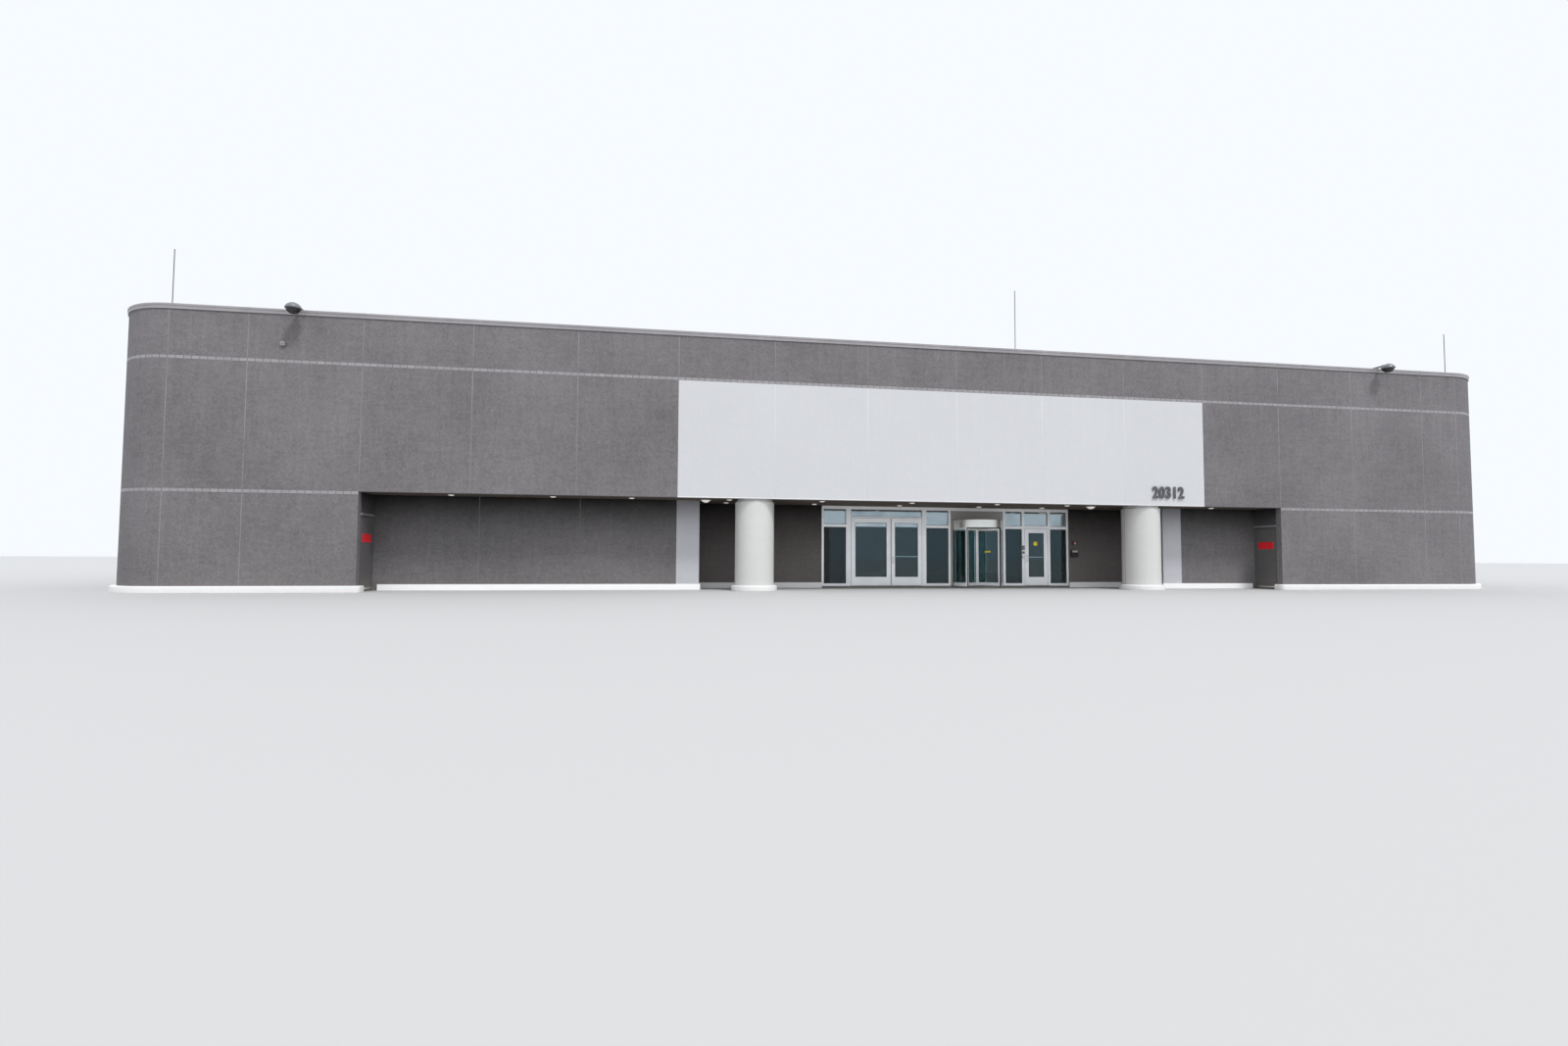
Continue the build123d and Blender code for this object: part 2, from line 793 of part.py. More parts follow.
def push_bar(left, right):
    """Push bar across the inner face of a leaf, with a foot on each stile."""
    face = frame_front + leaf_thickness
    outer = face + push_bar_stand_off
    start, end = left + stile_width / 2, right - stile_width / 2
    low, high = push_bar_height - push_bar_size / 2, push_bar_height + push_bar_size / 2
    block(start, end, outer - push_bar_size, outer, low, high)
    for foot in (start, end - push_bar_size):
        block(foot, foot + push_bar_size, face, outer, low, high)


meeting_line = bay_left["double_door"] + leaf_gap + wide_leaf_width
wide_leaf = (bay_left["double_door"] + leaf_gap, meeting_line)
narrow_leaf = (meeting_line + meeting_gap, bay_right["double_door"] - leaf_gap)
single_leaf = (bay_left["single_door"] + leaf_gap, bay_right["single_door"] - leaf_gap)

save(glazed_leaf(*wide_leaf, double_leaf_top, double_left_axis, (1, 0)), "double_door_left")
save(glazed_leaf(*narrow_leaf, double_leaf_top, double_right_axis, (-1, 0)),
     "double_door_right")
save(glazed_leaf(*single_leaf, single_leaf_top, single_axis, (-1, 0)), "single_door")
save(leaf_pane(*wide_leaf, double_leaf_top), "double_door_left_glass")
save(leaf_pane(*narrow_leaf, double_leaf_top), "double_door_right_glass")
save(leaf_pane(*single_leaf, single_leaf_top), "single_door_glass")

with BuildPart() as double_furniture:
    bow_pull(narrow_leaf[0] + stile_width / 2, double_pull_height)
    lock_cylinder(narrow_leaf[0] + stile_width / 2)
    push_bar(*narrow_leaf)
save(double_furniture, "double_door_right_furniture")

with BuildPart() as single_furniture:
    bow_pull(single_leaf[0] + stile_width / 2, single_pull_height)
    push_bar(*single_leaf)
save(single_furniture, "single_door_furniture")

# Fire doors in the ends of the recess, hinged beside the front wall
fire_leaf_top = leaf_bottom + fire_leaf_height
fire_hinge_y = opening_start + door_jamb + leaf_gap / 2


def fire_door_frame(face_x, outward):
    """Steel frame lining one doorway, with a stop behind the leaf and half-hinges."""
    depth = sorted((face_x, face_x - outward * wall_thickness))
    stop_face = face_x - outward * (leaf_thickness + leaf_gap)
    stop = sorted((stop_face, stop_face - outward * door_stop_depth))
    inner_start, inner_end = opening_start + door_jamb, recess_y - door_jamb
    inner_top = door_opening_top - door_jamb
    block(*depth, opening_start, recess_y, floor_thickness, door_opening_top)
    block(*depth, inner_start, inner_end, floor_thickness, inner_top, Mode.SUBTRACT)
    block(*stop, inner_start, inner_start + door_stop, floor_thickness, inner_top)
    block(*stop, inner_end - door_stop, inner_end, floor_thickness, inner_top)
    block(*stop, inner_start, inner_end, inner_top - door_stop, inner_top)
    for level in hinge_levels(fire_leaf_top):
        hinge_half(face_x + outward * knuckle_radius, fire_hinge_y, (0, -1), (outward, 0),
                   level, upper=False)


with BuildPart() as fire_door_frames:
    fire_door_frame(recess_left, 1)
    fire_door_frame(recess_right, -1)
save(fire_door_frames, "fire_door_frames")


def fire_door(face_x, outward):
    """Flush steel leaf with its half-hinges and a round lock cylinder."""
    near = opening_start + door_jamb + leaf_gap
    far = recess_y - door_jamb - leaf_gap
    depth = sorted((face_x, face_x - outward * leaf_thickness))
    with BuildPart() as leaf:
        block(*depth, near, far, leaf_bottom, fire_leaf_top)
        for level in hinge_levels(fire_leaf_top):
            hinge_half(face_x + outward * knuckle_radius, fire_hinge_y, (0, 1),
                       (outward, 0), level, upper=True)
        with BuildSketch(Plane((face_x, far - fire_lock_inset, fire_lock_height),
                               x_dir=(0, 1, 0), z_dir=(outward, 0, 0))):
            Circle(cylinder_radius)
        extrude(amount=cylinder_length)
    return leaf


save(fire_door(recess_left, 1), "fire_door_left")
save(fire_door(recess_right, -1), "fire_door_right")

# Revolving door: drum, canopy and the rotor with its wings
drum_inner_radius = drum_radius - drum_glass_thickness


def drum_sector(inner, outer, start_angle, end_angle, bottom, top):
    """Upright part of a round wall about the drum's axis."""
    plane = Plane((drum_x, drum_y, 0), x_dir=(cos(radians(start_angle)),
                                              sin(radians(start_angle)), 0),
                  z_dir=(sin(radians(start_angle)), -cos(radians(start_angle)), 0))
    with BuildSketch(plane) as section:
        with Locations((inner, bottom)):
            Rectangle(outer - inner, top - bottom, align=(Align.MIN, Align.MIN))
    revolve(section.sketch, axis=Axis((drum_x, drum_y, 0), (0, 0, 1)),
            revolution_arc=end_angle - start_angle)


post_turn = degrees(drum_post_width / drum_radius)
side_angles = (-wing_rest_angle, 180 - wing_rest_angle)
side_turn = 2 * wing_rest_angle
drum_frame_radius = drum_radius + drum_floor_rim / 2
drum_glass_bottom = floor_thickness + drum_kick_height
drum_glass_top = canopy_bottom - drum_rail_height

with BuildPart() as drum_glass:
    for angle in side_angles:
        drum_sector(drum_inner_radius, drum_radius, angle + post_turn,
                    angle + side_turn - post_turn, drum_glass_bottom, drum_glass_top)
save(drum_glass, "revolving_door_drum_glass")

with BuildPart() as drum_frame:
    for angle in side_angles:
        for start in (angle, angle + side_turn - post_turn):
            drum_sector(drum_inner_radius, drum_frame_radius, start, start + post_turn,
                        floor_thickness, canopy_bottom)
        for bottom, top in ((floor_thickness, drum_glass_bottom),
                            (drum_glass_top, canopy_bottom)):
            drum_sector(drum_inner_radius, drum_frame_radius, angle + post_turn,
                        angle + side_turn - post_turn, bottom, top)
save(drum_frame, "revolving_door_drum_frame")

with BuildPart() as canopy:
    upright(drum_x, drum_y, canopy_bottom, canopy_top, drum_outer_radius - canopy_reveal)
    upright(drum_x, drum_y, canopy_bottom + canopy_rim, canopy_top - canopy_rim,
            drum_outer_radius)
    for angle in side_angles:
        for start in (angle, angle + side_turn - post_turn):
            drum_sector(drum_inner_radius, drum_outer_radius + canopy_rib, start,
                        start + post_turn, canopy_bottom, canopy_top)
save(canopy, "revolving_door_canopy")

with BuildPart() as drum_floor:
    upright(drum_x, drum_y, 0, floor_thickness, drum_outer_radius)
save(drum_floor, "revolving_door_floor")

with BuildPart() as drum_surround:
    left, right = bay_left["revolving_door"], bay_right["revolving_door"]
    block(left, right, frame_front, frame_back, canopy_top, head_bottom)
    block(left, right, frame_front, frame_back, floor_thickness, canopy_top - seat_gap)
    upright(drum_x, drum_y, floor_thickness, canopy_top, drum_outer_radius + seat_gap,
            Mode.SUBTRACT)
save(drum_surround, "revolving_door_surround")

seal_tip = drum_inner_radius - wing_clearance
wing_tip = seal_tip - seal_width
wing_bottom = floor_thickness + wing_clearance
wing_top = canopy_bottom - wing_clearance
wing_angles = [wing_rest_angle + turn * 360 / wing_count for turn in range(wing_count)]


def wing_plane(angle):
    """Upright plane of one wing, through the drum's axis."""
    across = (cos(radians(angle)), sin(radians(angle)), 0)
    return Plane((drum_x, drum_y, 0), x_dir=across, z_dir=(across[1], -across[0], 0))


wing_root = shaft_radius + seat_gap
pane_width = wing_tip - wing_root - 2 * wing_stile
pane_height = wing_top - wing_bottom - wing_bottom_rail - wing_top_rail

with BuildPart() as wings:
    for angle in wing_angles:
        with BuildSketch(wing_plane(angle)):
            with Locations((wing_root, wing_bottom)):
                Rectangle(wing_tip - wing_root, wing_top - wing_bottom,
                          align=(Align.MIN, Align.MIN))
            with Locations((wing_root + wing_stile, wing_bottom + wing_bottom_rail)):
                Rectangle(pane_width, pane_height, align=(Align.MIN, Align.MIN),
                          mode=Mode.SUBTRACT)
        extrude(amount=wing_thickness / 2, both=True)
save(wings, "revolving_door_wings")

with BuildPart() as rotor_shaft:
    upright(drum_x, drum_y, wing_bottom, wing_top, shaft_radius)
    upright(drum_x, drum_y, floor_thickness + seat_gap, canopy_bottom - seat_gap,
            pivot_radius)
save(rotor_shaft, "revolving_door_shaft")

with BuildPart() as rotor_glass:
    for angle in wing_angles:
        with BuildSketch(wing_plane(angle)):
            with Locations((wing_root + wing_stile + seat_gap,
                            wing_bottom + wing_bottom_rail + seat_gap)):
                Rectangle(pane_width - 2 * seat_gap, pane_height - 2 * seat_gap,
                          align=(Align.MIN, Align.MIN))
        extrude(amount=drum_glass_thickness / 2, both=True)
save(rotor_glass, "revolving_door_wing_glass")

with BuildPart() as rotor_seals:
    for angle in wing_angles:
        with BuildSketch(wing_plane(angle)):
            with Locations((wing_tip, wing_bottom)):
                Rectangle(seal_width, wing_top - wing_bottom, align=(Align.MIN, Align.MIN))
        extrude(amount=seal_thickness / 2, both=True)
save(rotor_seals, "revolving_door_seals")

# Floodlights in front of the parapet, on arms that pass over the coping to posts behind it
lamp_arm_level = wall_height + coping_height + lamp_arm_clearance + lamp_arm_radius
lamp_crown = lamp_arm_level + lamp_arm_radius + lamp_crown_cover
lamp_rim = lamp_crown - lamp_crown_rise
lamp_bowl_top = lamp_rim - lamp_skirt
lamp_post_y = front + wall_thickness + coping_overhang + lamp_post_gap + lamp_arm_radius

with BuildPart() as floodlights:
    for x in (-half_width + lamp_side_distance, half_width - lamp_side_distance):
        y = front - lamp_reach
        with BuildSketch(Plane((x, y, 0), x_dir=(1, 0, 0), z_dir=(0, -1, 0))):
            with BuildLine():
                TangentArc((0, lamp_crown), (lamp_radius, lamp_rim), tangent=(1, 0))
                Polyline((lamp_radius, lamp_rim), (lamp_radius, lamp_bowl_top),
                         (lamp_bowl_radius, lamp_bowl_top))
                TangentArc((0, lamp_bowl_top - lamp_bowl_drop),
                           (lamp_bowl_radius, lamp_bowl_top), tangent=(1, 0))
                Line((0, lamp_bowl_top - lamp_bowl_drop), (0, lamp_crown))
            make_face()
        revolve(axis=Axis((x, y, 0), (0, 0, 1)))
        with BuildSketch(Plane((x, y, lamp_arm_level), x_dir=(1, 0, 0), z_dir=(0, 1, 0))):
            Circle(lamp_arm_radius)
        extrude(amount=lamp_post_y - y)
        with Locations((x, lamp_post_y, lamp_arm_level)):
            Sphere(lamp_arm_radius)
        upright(x, lamp_post_y, wall_height - max(lamp_clamp_drops) - lamp_clamp_height
                - lamp_post_end, lamp_arm_level, lamp_arm_radius)
        for drop in lamp_clamp_drops:
            block(x - lamp_clamp_width / 2, x + lamp_clamp_width / 2,
                  front + wall_thickness, lamp_post_y,
                  wall_height - drop - lamp_clamp_height, wall_height - drop)
save(floodlights, "floodlights")

# Rods standing on the coping
with BuildPart() as roof_rods:
    coping_slope = coping_fall / (wall_thickness + 2 * coping_overhang)
    rod_seat = (wall_height + coping_height + seat_gap
                - coping_slope * (coping_overhang + wall_thickness / 2 - rod_foot_radius))
    for x, height in ((-corner_x, left_rod_height),
                      (joint_x(middle_rod_panels), middle_rod_height),
                      (corner_x - right_rod_inset, right_rod_height)):
        y = front + wall_thickness / 2
        upright(x, y, rod_seat, rod_seat + height, rod_radius)
        upright(x, y, rod_seat, rod_seat + rod_foot_height, rod_foot_radius)
save(roof_rods, "roof_rods")


# Small boxes on the walls, and the keypad, bell and key switch beside the single door
def wall_box(x, face_y, level, width, height, depth):
    """Box fixed to a face that looks to the street."""
    block(x - width / 2, x + width / 2, face_y - depth, face_y,
          level - height / 2, level + height / 2)


with BuildPart() as wall_boxes:
    box_x = storefront_right + wall_box_inset
    wall_box(box_x, entrance_y, alarm_level, alarm_width, alarm_height, alarm_depth)
    wall_box(box_x, entrance_y, post_box_level, post_box_size, post_box_size, post_box_depth)
    wall_box(joint_x(0) + sensor_offset, front, wall_height - sensor_drop,
             sensor_size, sensor_size, sensor_depth)
    post_x = (bay_right["sidelight_3"] + bay_left["single_door"]) / 2
    wall_box(post_x, frame_front, keypad_level, keypad_width, keypad_height, keypad_depth)
    for level, radius in ((bell_level, bell_radius), (switch_level, switch_radius)):
        with BuildSketch(Plane((post_x, frame_front, level), x_dir=(1, 0, 0),
                               z_dir=(0, -1, 0))):
            Circle(radius)
        extrude(amount=bell_depth)
save(wall_boxes, "wall_boxes")
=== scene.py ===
# %% [markdown]
# # Dressing a shop building with a recessed entrance, at 1:2 scale
#
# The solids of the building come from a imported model: walls, coping, plinths,
# columns, storefront and doors, each a named node. This script gives every node
# a finish and adds the small things that are too fine for the solids: belt tiles,
# sealant, gaskets, screws, sign plates and numbers. All lengths are in metres.

# %% Load the frame
from contextlib import contextmanager
import math
import bpy
from mathutils import Matrix, Vector


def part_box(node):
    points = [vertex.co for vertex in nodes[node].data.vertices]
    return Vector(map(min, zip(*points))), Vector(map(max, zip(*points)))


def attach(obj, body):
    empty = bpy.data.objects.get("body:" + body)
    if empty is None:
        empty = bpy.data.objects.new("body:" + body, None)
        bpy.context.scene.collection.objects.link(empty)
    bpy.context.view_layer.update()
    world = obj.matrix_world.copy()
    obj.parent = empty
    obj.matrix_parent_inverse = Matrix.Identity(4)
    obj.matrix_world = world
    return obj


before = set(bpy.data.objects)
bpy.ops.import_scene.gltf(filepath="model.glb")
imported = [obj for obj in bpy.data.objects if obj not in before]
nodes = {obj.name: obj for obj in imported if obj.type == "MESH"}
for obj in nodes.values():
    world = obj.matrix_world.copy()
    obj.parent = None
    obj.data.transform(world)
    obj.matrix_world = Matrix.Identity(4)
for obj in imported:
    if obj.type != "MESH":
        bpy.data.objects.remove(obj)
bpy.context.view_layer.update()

# %% [markdown]
# The camera comes first, because every later choice is judged through it. It
# stands where the picture was taken: a wide lens, well before the entrance and a
# little left of the middle, at a standing person's eye height, turned to the right
# and slightly up. A camera looks down, so it is first tilted up to the horizon.

# %% Camera
camera_place = (-3.8903, -18.4112, 0.5284)
turn_right, tilt_up, roll = (math.radians(angle) for angle in (9.355, 2.721, 0.264))
bpy.ops.object.camera_add(location=camera_place)
camera = bpy.context.object
camera.name = "street_camera"
camera.data.sensor_width = 36
camera.data.lens = 16.763
camera.data.clip_end = 500
camera.matrix_world = (
    Matrix.Translation(camera_place) @ Matrix.Rotation(-turn_right, 4, "Z")
    @ Matrix.Rotation(math.pi / 2 + tilt_up, 4, "X") @ Matrix.Rotation(roll, 4, "Z"))
bpy.context.scene.camera = camera
print("camera stands at", camera_place)

# %% [markdown]
# Light and finishes are both made of nodes. One helper feeds a node's inputs,
# each with a link or a plain value, one adds a node, and short ones build on it
# for the nodes that come up again and again.

# %% Helpers for nodes
def feed(node, inputs):
    """Feeds inputs of a node, given by name or place."""
    for label, value in inputs.items():
        if isinstance(value, bpy.types.NodeSocket):
            node.id_data.links.new(value, node.inputs[label])
        else:
            node.inputs[label].default_value = value


def add_node(tree, kind, inputs, output=0, **options):
    """Adds a shader node with its options and inputs, and returns one output."""
    node = tree.nodes.new("ShaderNode" + kind)
    for option, value in options.items():
        setattr(node, option, value)
    feed(node, inputs)
    return node.outputs[output]


def add_math(tree, operation, first, second, clamp=False):
    return add_node(tree, "Math", {0: first, 1: second}, operation=operation, use_clamp=clamp)


def add_range(tree, value, low, high, start=0, end=1):
    """Spreads the part of a value between low and high over start to end."""
    return add_node(tree, "MapRange", {"Value": value, "From Min": low, "From Max": high,
                                       "To Min": start, "To Max": end})


def add_colour_mix(tree, mask, first, second):
    return add_node(tree, "Mix", {0: mask, 6: first, 7: second}, 2, data_type="RGBA")


# %% [markdown]
# An overcast day lights a building from everywhere, with a weak sun that only
# gives the lamps a soft shadow. A world colour does the first part, and a sun
# lamp with a wide disc the second. The sky is dimmer near the horizon, so that
# the top of the recess, which sees only that strip, falls dark. Light Path shows
# the camera a clean pale sky, and mirrors and glass a bluer one, because dark
# glass takes the blue of a real sky into its reflections.

# %% Sky, sun and floor
scene = bpy.context.scene
scene.view_settings.view_transform = "Standard"
scene.world = bpy.data.worlds.new("overcast_sky")
scene.world.use_nodes = True
sky = scene.world.node_tree
sky.nodes.clear()
rays = sky.nodes.new("ShaderNodeLightPath").outputs
seen = add_math(sky, "MAXIMUM", rays["Is Camera Ray"], rays["Is Glossy Ray"])
seen = add_math(sky, "MAXIMUM", seen, rays["Is Transmission Ray"])
direction = add_node(sky, "TexCoord", {}, "Generated")
sky_height = add_node(sky, "SeparateXYZ", {0: direction}, "Z")
brightness = add_range(sky, sky_height, 0, 0.5, 0.95, 1.2)
even_light = add_node(sky, "Background", {"Color": (0.95, 0.97, 1, 1), "Strength": brightness})
clean_colour = add_colour_mix(sky, rays["Is Camera Ray"], (0.76, 0.89, 1, 1),
                              (0.93, 0.965, 1, 1))
clean_sky = add_node(sky, "Background", {"Color": clean_colour})
shown = add_node(sky, "MixShader", {0: seen, 1: even_light, 2: clean_sky})
feed(sky.nodes.new("ShaderNodeOutputWorld"), {"Surface": shown})

bpy.ops.object.light_add(type="SUN", location=(6, -12, 16))
sun = bpy.context.object
sun.name = "veiled_sun"
sun.data.energy = 2.0
sun.data.angle = math.radians(11)
sun.rotation_euler = (math.radians(33), 0, math.radians(26))

bpy.ops.mesh.primitive_plane_add(size=400, location=(0, 0, -0.002))
ground = bpy.context.object
ground.name = "studio_floor"

# %% [markdown]
# Finishes share a few effects, so each effect is a node group: it is built once,
# and a material only gives it its own scale and colours. All of them read Object
# coordinates, so a pattern runs on from one piece to the next as paint does.

# %% Helpers for node groups
def new_group(name, inputs):
    """Starts a node group, and returns it with the sockets of what it is given."""
    group = bpy.data.node_groups.new(name, "ShaderNodeTree")
    for label, value in inputs.items():
        kind = "NodeSocketColor" if isinstance(value, tuple) else "NodeSocketFloat"
        socket = group.interface.new_socket(label, in_out="INPUT", socket_type=kind)
        socket.default_value = value
    return group, group.nodes.new("NodeGroupInput").outputs


def end_group(group, outputs):
    """Lets a group put out the given values."""
    for label, value in outputs.items():
        kind = "NodeSocketColor" if value.type == "RGBA" else "NodeSocketFloat"
        group.interface.new_socket(label, in_out="OUTPUT", socket_type=kind)
    feed(group.nodes.new("NodeGroupOutput"), outputs)


def object_vector(tree, scale=(1, 1, 1)):
    """Object coordinates, stretched by a Mapping node."""
    place = add_node(tree, "TexCoord", {}, "Object")
    return add_node(tree, "Mapping", {"Vector": place, "Scale": scale})


def object_height(tree):
    return add_node(tree, "SeparateXYZ", {0: object_vector(tree)}, "Z")


def add_noise(tree, scale, detail=3, roughness=0.55, stretch=(1, 1, 1)):
    return add_node(tree, "TexNoise", {"Vector": object_vector(tree, stretch), "Scale": scale,
                                       "Detail": detail, "Roughness": roughness})


def add_product(tree, first, *others):
    for other in others:
        first = add_math(tree, "MULTIPLY", first, other)
    return first


def add_fade(tree, distance, reach):
    """Falls from 1 to 0 as a distance grows to a reach."""
    return add_math(tree, "SUBTRACT", 1, add_math(tree, "DIVIDE", distance, reach), True)


# %% [markdown]
# Rolled-on masonry paint over rough concrete isn't one colour: it is cloudy over
# metres, mottled over a hand's width, and speckled where the grains stand out.
# Three noises of falling size give that. The middle one is a weave of two noises,
# one stretched upright and one level, because a roller goes over the wall both
# ways. The finest one is the height of the bump too.

# %% Group for mottled paint
mottle, given = new_group("mottled_paint", {
    "Light": (0.2, 0.2, 0.2, 1), "Dark": (0.1, 0.1, 0.1, 1), "Cloud Scale": 0.5,
    "Mottle Scale": 9.0, "Grain Scale": 90.0, "Grain Share": 0.35})
cloud = add_noise(mottle, given["Cloud Scale"], 4)
upright, level = (add_noise(mottle, given["Mottle Scale"], 4, 0.7, stretch)
                  for stretch in ((1.4, 1.4, 0.22), (0.25, 0.25, 1.4)))
grain = add_noise(mottle, given["Grain Scale"], 3, 0.75)
weave = add_math(mottle, "ADD", upright, level)
soft = add_math(mottle, "ADD", add_product(mottle, cloud, 0.45),
                add_product(mottle, weave, 0.275))
grain_part = add_product(mottle, add_range(mottle, grain, 0.3, 0.7), given["Grain Share"])
soft_part = add_product(mottle, add_range(mottle, soft, 0.36, 0.64),
                        add_math(mottle, "SUBTRACT", 1, given["Grain Share"]))
whole = add_math(mottle, "ADD", grain_part, soft_part)
end_group(mottle, {"Color": add_colour_mix(mottle, whole, given["Dark"], given["Light"]),
                   "Grain": grain})

# %% [markdown]
# Rain leaves upright streaks below the coping and the belts, and splashes dirt
# against the foot of a wall. Both are masks made from the height of a point: the
# streaks fade downwards from a stated level, and the splash fades upwards.

# %% Groups for streaks and splashes
streaks, given = new_group("rain_streaks", {"Top": 4.0, "Length": 1.0, "Density": 0.5})
lines = add_range(streaks, add_noise(streaks, 1, 5, 0.6, (9, 9, 0.22)), 0.42, 0.72)
drop = add_math(streaks, "SUBTRACT", given["Top"], object_height(streaks))
below = add_math(streaks, "GREATER_THAN", drop, 0)
fade = add_fade(streaks, drop, given["Length"])
end_group(streaks, {"Mask": add_product(streaks, lines, fade, below, given["Density"])})

splash, given = new_group("ground_splash", {"Reach": 0.3, "Density": 0.5})
spots = add_noise(splash, 7, 6, 0.65, (1, 1, 1.5))
low_down = add_fade(splash, object_height(splash), given["Reach"])
dirty = add_range(splash, add_product(splash, low_down, spots), 0.12, 0.55)
end_group(splash, {"Mask": add_product(splash, dirty, given["Density"])})

# %% [markdown]
# Under a soffit the paint gets painted shade. This mask is strongest at the soffit and fades
# downwards, faster at first, with a cloudy edge from a noise.

# %% Group for the painted shade under a soffit
# Painted shade: a mask that darkens paint towards the soffit.
painted_soffit_shade, given = new_group("painted_soffit_shade", {"Top": 1.46, "Length": 1.0, "Density": 0.5})
drop = add_math(painted_soffit_shade, "SUBTRACT", given["Top"], object_height(painted_soffit_shade))
fade = add_fade(painted_soffit_shade, drop, given["Length"])
cloudy = add_range(painted_soffit_shade, add_noise(painted_soffit_shade, 3, 4), 0, 1, 0.85, 1.15)
end_group(painted_soffit_shade, {"Mask": add_product(painted_soffit_shade, fade, fade, cloudy, given["Density"])})

# %% [markdown]
# Metal shows the way it was worked. Brushed steel and drawn aluminium have fine
# lines along one direction, which catch the light as changes in roughness more
# than in colour. A noise stretched hard along one axis gives the lines.

# %% Group for brushed metal
brushed, given = new_group("brushed_lines", {"Smooth": 0.2, "Rough": 0.45})
lines = add_noise(brushed, 1, 3, 0.6, (2.5, 2.5, 260))
worn = add_math(brushed, "ADD", add_product(brushed, lines, 0.6),
                add_product(brushed, add_noise(brushed, 3, 4), 0.4))
roughness = add_range(brushed, worn, 0, 1, given["Smooth"], given["Rough"])
end_group(brushed, {"Roughness": roughness, "Lines": lines})

# %% [markdown]
# A material then is a short list: a Principled shader, one or two groups, and a
# bump. Most begin with mottled paint. A stain lays a tone over the colour by the
# mask of a group, and the last helper turns a height into a normal. Colours are
# written as a picture stores them, from 0 to 255.

# %% Helpers for materials
def srgb(colour):
    """Turns a colour from 0 to 255 into Blender's linear values."""
    def linear(value):
        value /= 255
        return value / 12.92 if value <= 0.04045 else ((value + 0.055) / 1.055) ** 2.4
    return (*map(linear, colour), 1)


def new_finish(name, colour, roughness, metallic=0):
    """Starts a material, and returns it with its tree and its Principled shader."""
    material = bpy.data.materials.new(name)
    material.use_nodes = True
    shader = material.node_tree.nodes["Principled BSDF"]
    feed(shader, {"Base Color": colour, "Roughness": roughness, "Metallic": metallic})
    return material, material.node_tree, shader


def mottled_finish(name, light, dark, roughness, scales, grain_share):
    """Starts a material of mottled paint, and returns its colour and grain with it.

    The scales are those of the clouds, the mottling and the grain."""
    material, tree, shader = new_finish(name, srgb(light), roughness)
    colour = add_node(tree, "Group", {
        "Light": srgb(light), "Dark": srgb(dark), "Cloud Scale": scales[0],
        "Mottle Scale": scales[1], "Grain Scale": scales[2], "Grain Share": grain_share},
        "Color", node_tree=mottle)
    feed(shader, {"Base Color": colour})
    return material, tree, shader, colour, colour.node.outputs["Grain"]


def stain(tree, colour, tone, group, **values):
    """Lays a tone over a colour by the mask of a group."""
    mask = add_node(tree, "Group", values, "Mask", node_tree=group)
    return add_colour_mix(tree, mask, colour, srgb(tone))


def bump(tree, shader, height, distance, strength=1):
    inputs = {"Height": height, "Distance": distance, "Strength": strength}
    feed(shader, {"Normal": add_node(tree, "Bump", inputs)})


# %% [markdown]
# The dark walls are concrete panels under two coats of warm grey paint. Pale streaks run down
# from the coping, and the foot of the wall is dusty. The pale fascia and the piers carry the
# same paint in near white, and the walls and piers under the soffit carry painted shade,
# darkest at the soffit.

# %% Wall paints
def wall_paint(name, light, dark, streak, dust, relief=0.0025, soffit_shade=None):
    """Masonry paint with streaks, dust at its foot, and painted shade under a soffit."""
    material, tree, shader, colour, grain = mottled_finish(
        name, light, dark, 0.88, (0.55, 13, 34), 0.5)
    for top, length, density in ((wall_top, 1.1, 0.2), (upper_belt_low, 1.4, 0.14),
                                 (lower_belt_low, 1.0, 0.14)):
        colour = stain(tree, colour, streak, streaks, Top=top, Length=length, Density=density)
    colour = stain(tree, colour, dust, splash, Reach=0.4, Density=0.35)
    # Painted shade: a tone laid over the paint, darkest at the soffit and fading downwards.
    if soffit_shade:
        tone, length, density = soffit_shade
        colour = stain(tree, colour, tone, painted_soffit_shade, Top=soffit_level, Length=length,
                       Density=density)
    feed(shader, {"Base Color": colour, "Specular IOR Level": 0.3})
    bump(tree, shader, grain, relief, 0.7)
    return material


wall_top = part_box("front_walls")[1].z
soffit_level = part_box("soffit")[0].z
belt_low, belt_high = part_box("tile_belts")
belt_height = 0.048
lower_belt_low, upper_belt_low = belt_low.z, belt_high.z - belt_height
smooth_relief = 0.001
dark_paint = wall_paint("dark_masonry_paint", (130, 127, 129), (89, 86, 88),
                        (138, 135, 137), (116, 110, 104))
pale_paint = wall_paint("pale_masonry_paint", (201, 202, 204), (193, 194, 197),
                        (190, 189, 189), (184, 179, 174), smooth_relief)
# The recess, entrance and pier paints carry painted shade under the soffit, strongest on the
# entrance walls.
recess_paint = wall_paint("recess_masonry_paint", (127, 124, 126), (88, 86, 87),
                          (128, 125, 127), (110, 104, 99), soffit_shade=((26, 24, 23), 1, 1))
entrance_paint = wall_paint("entrance_masonry_paint", (124, 119, 117), (92, 88, 86),
                            (124, 119, 117), (112, 106, 102), soffit_shade=((18, 16, 15), 1.35, 1))
pier_paint = wall_paint("pier_masonry_paint", (192, 193, 198), (182, 183, 188),
                        (176, 176, 178), (160, 156, 151), smooth_relief,
                        ((96, 95, 98), 0.7, 0.7))
print("belts start at", round(lower_belt_low, 3), round(upper_belt_low, 3))

# %% [markdown]
# Glazed tiles differ from one to the next, so each island of the mesh gets its own shade. The
# bed between them is darker. The plinths are thick white paint that has chipped and picked up
# dust, and the sealant between panels is old. The plinths in the recess get a brighter copy
# with less dust, as painted light against the shade there.

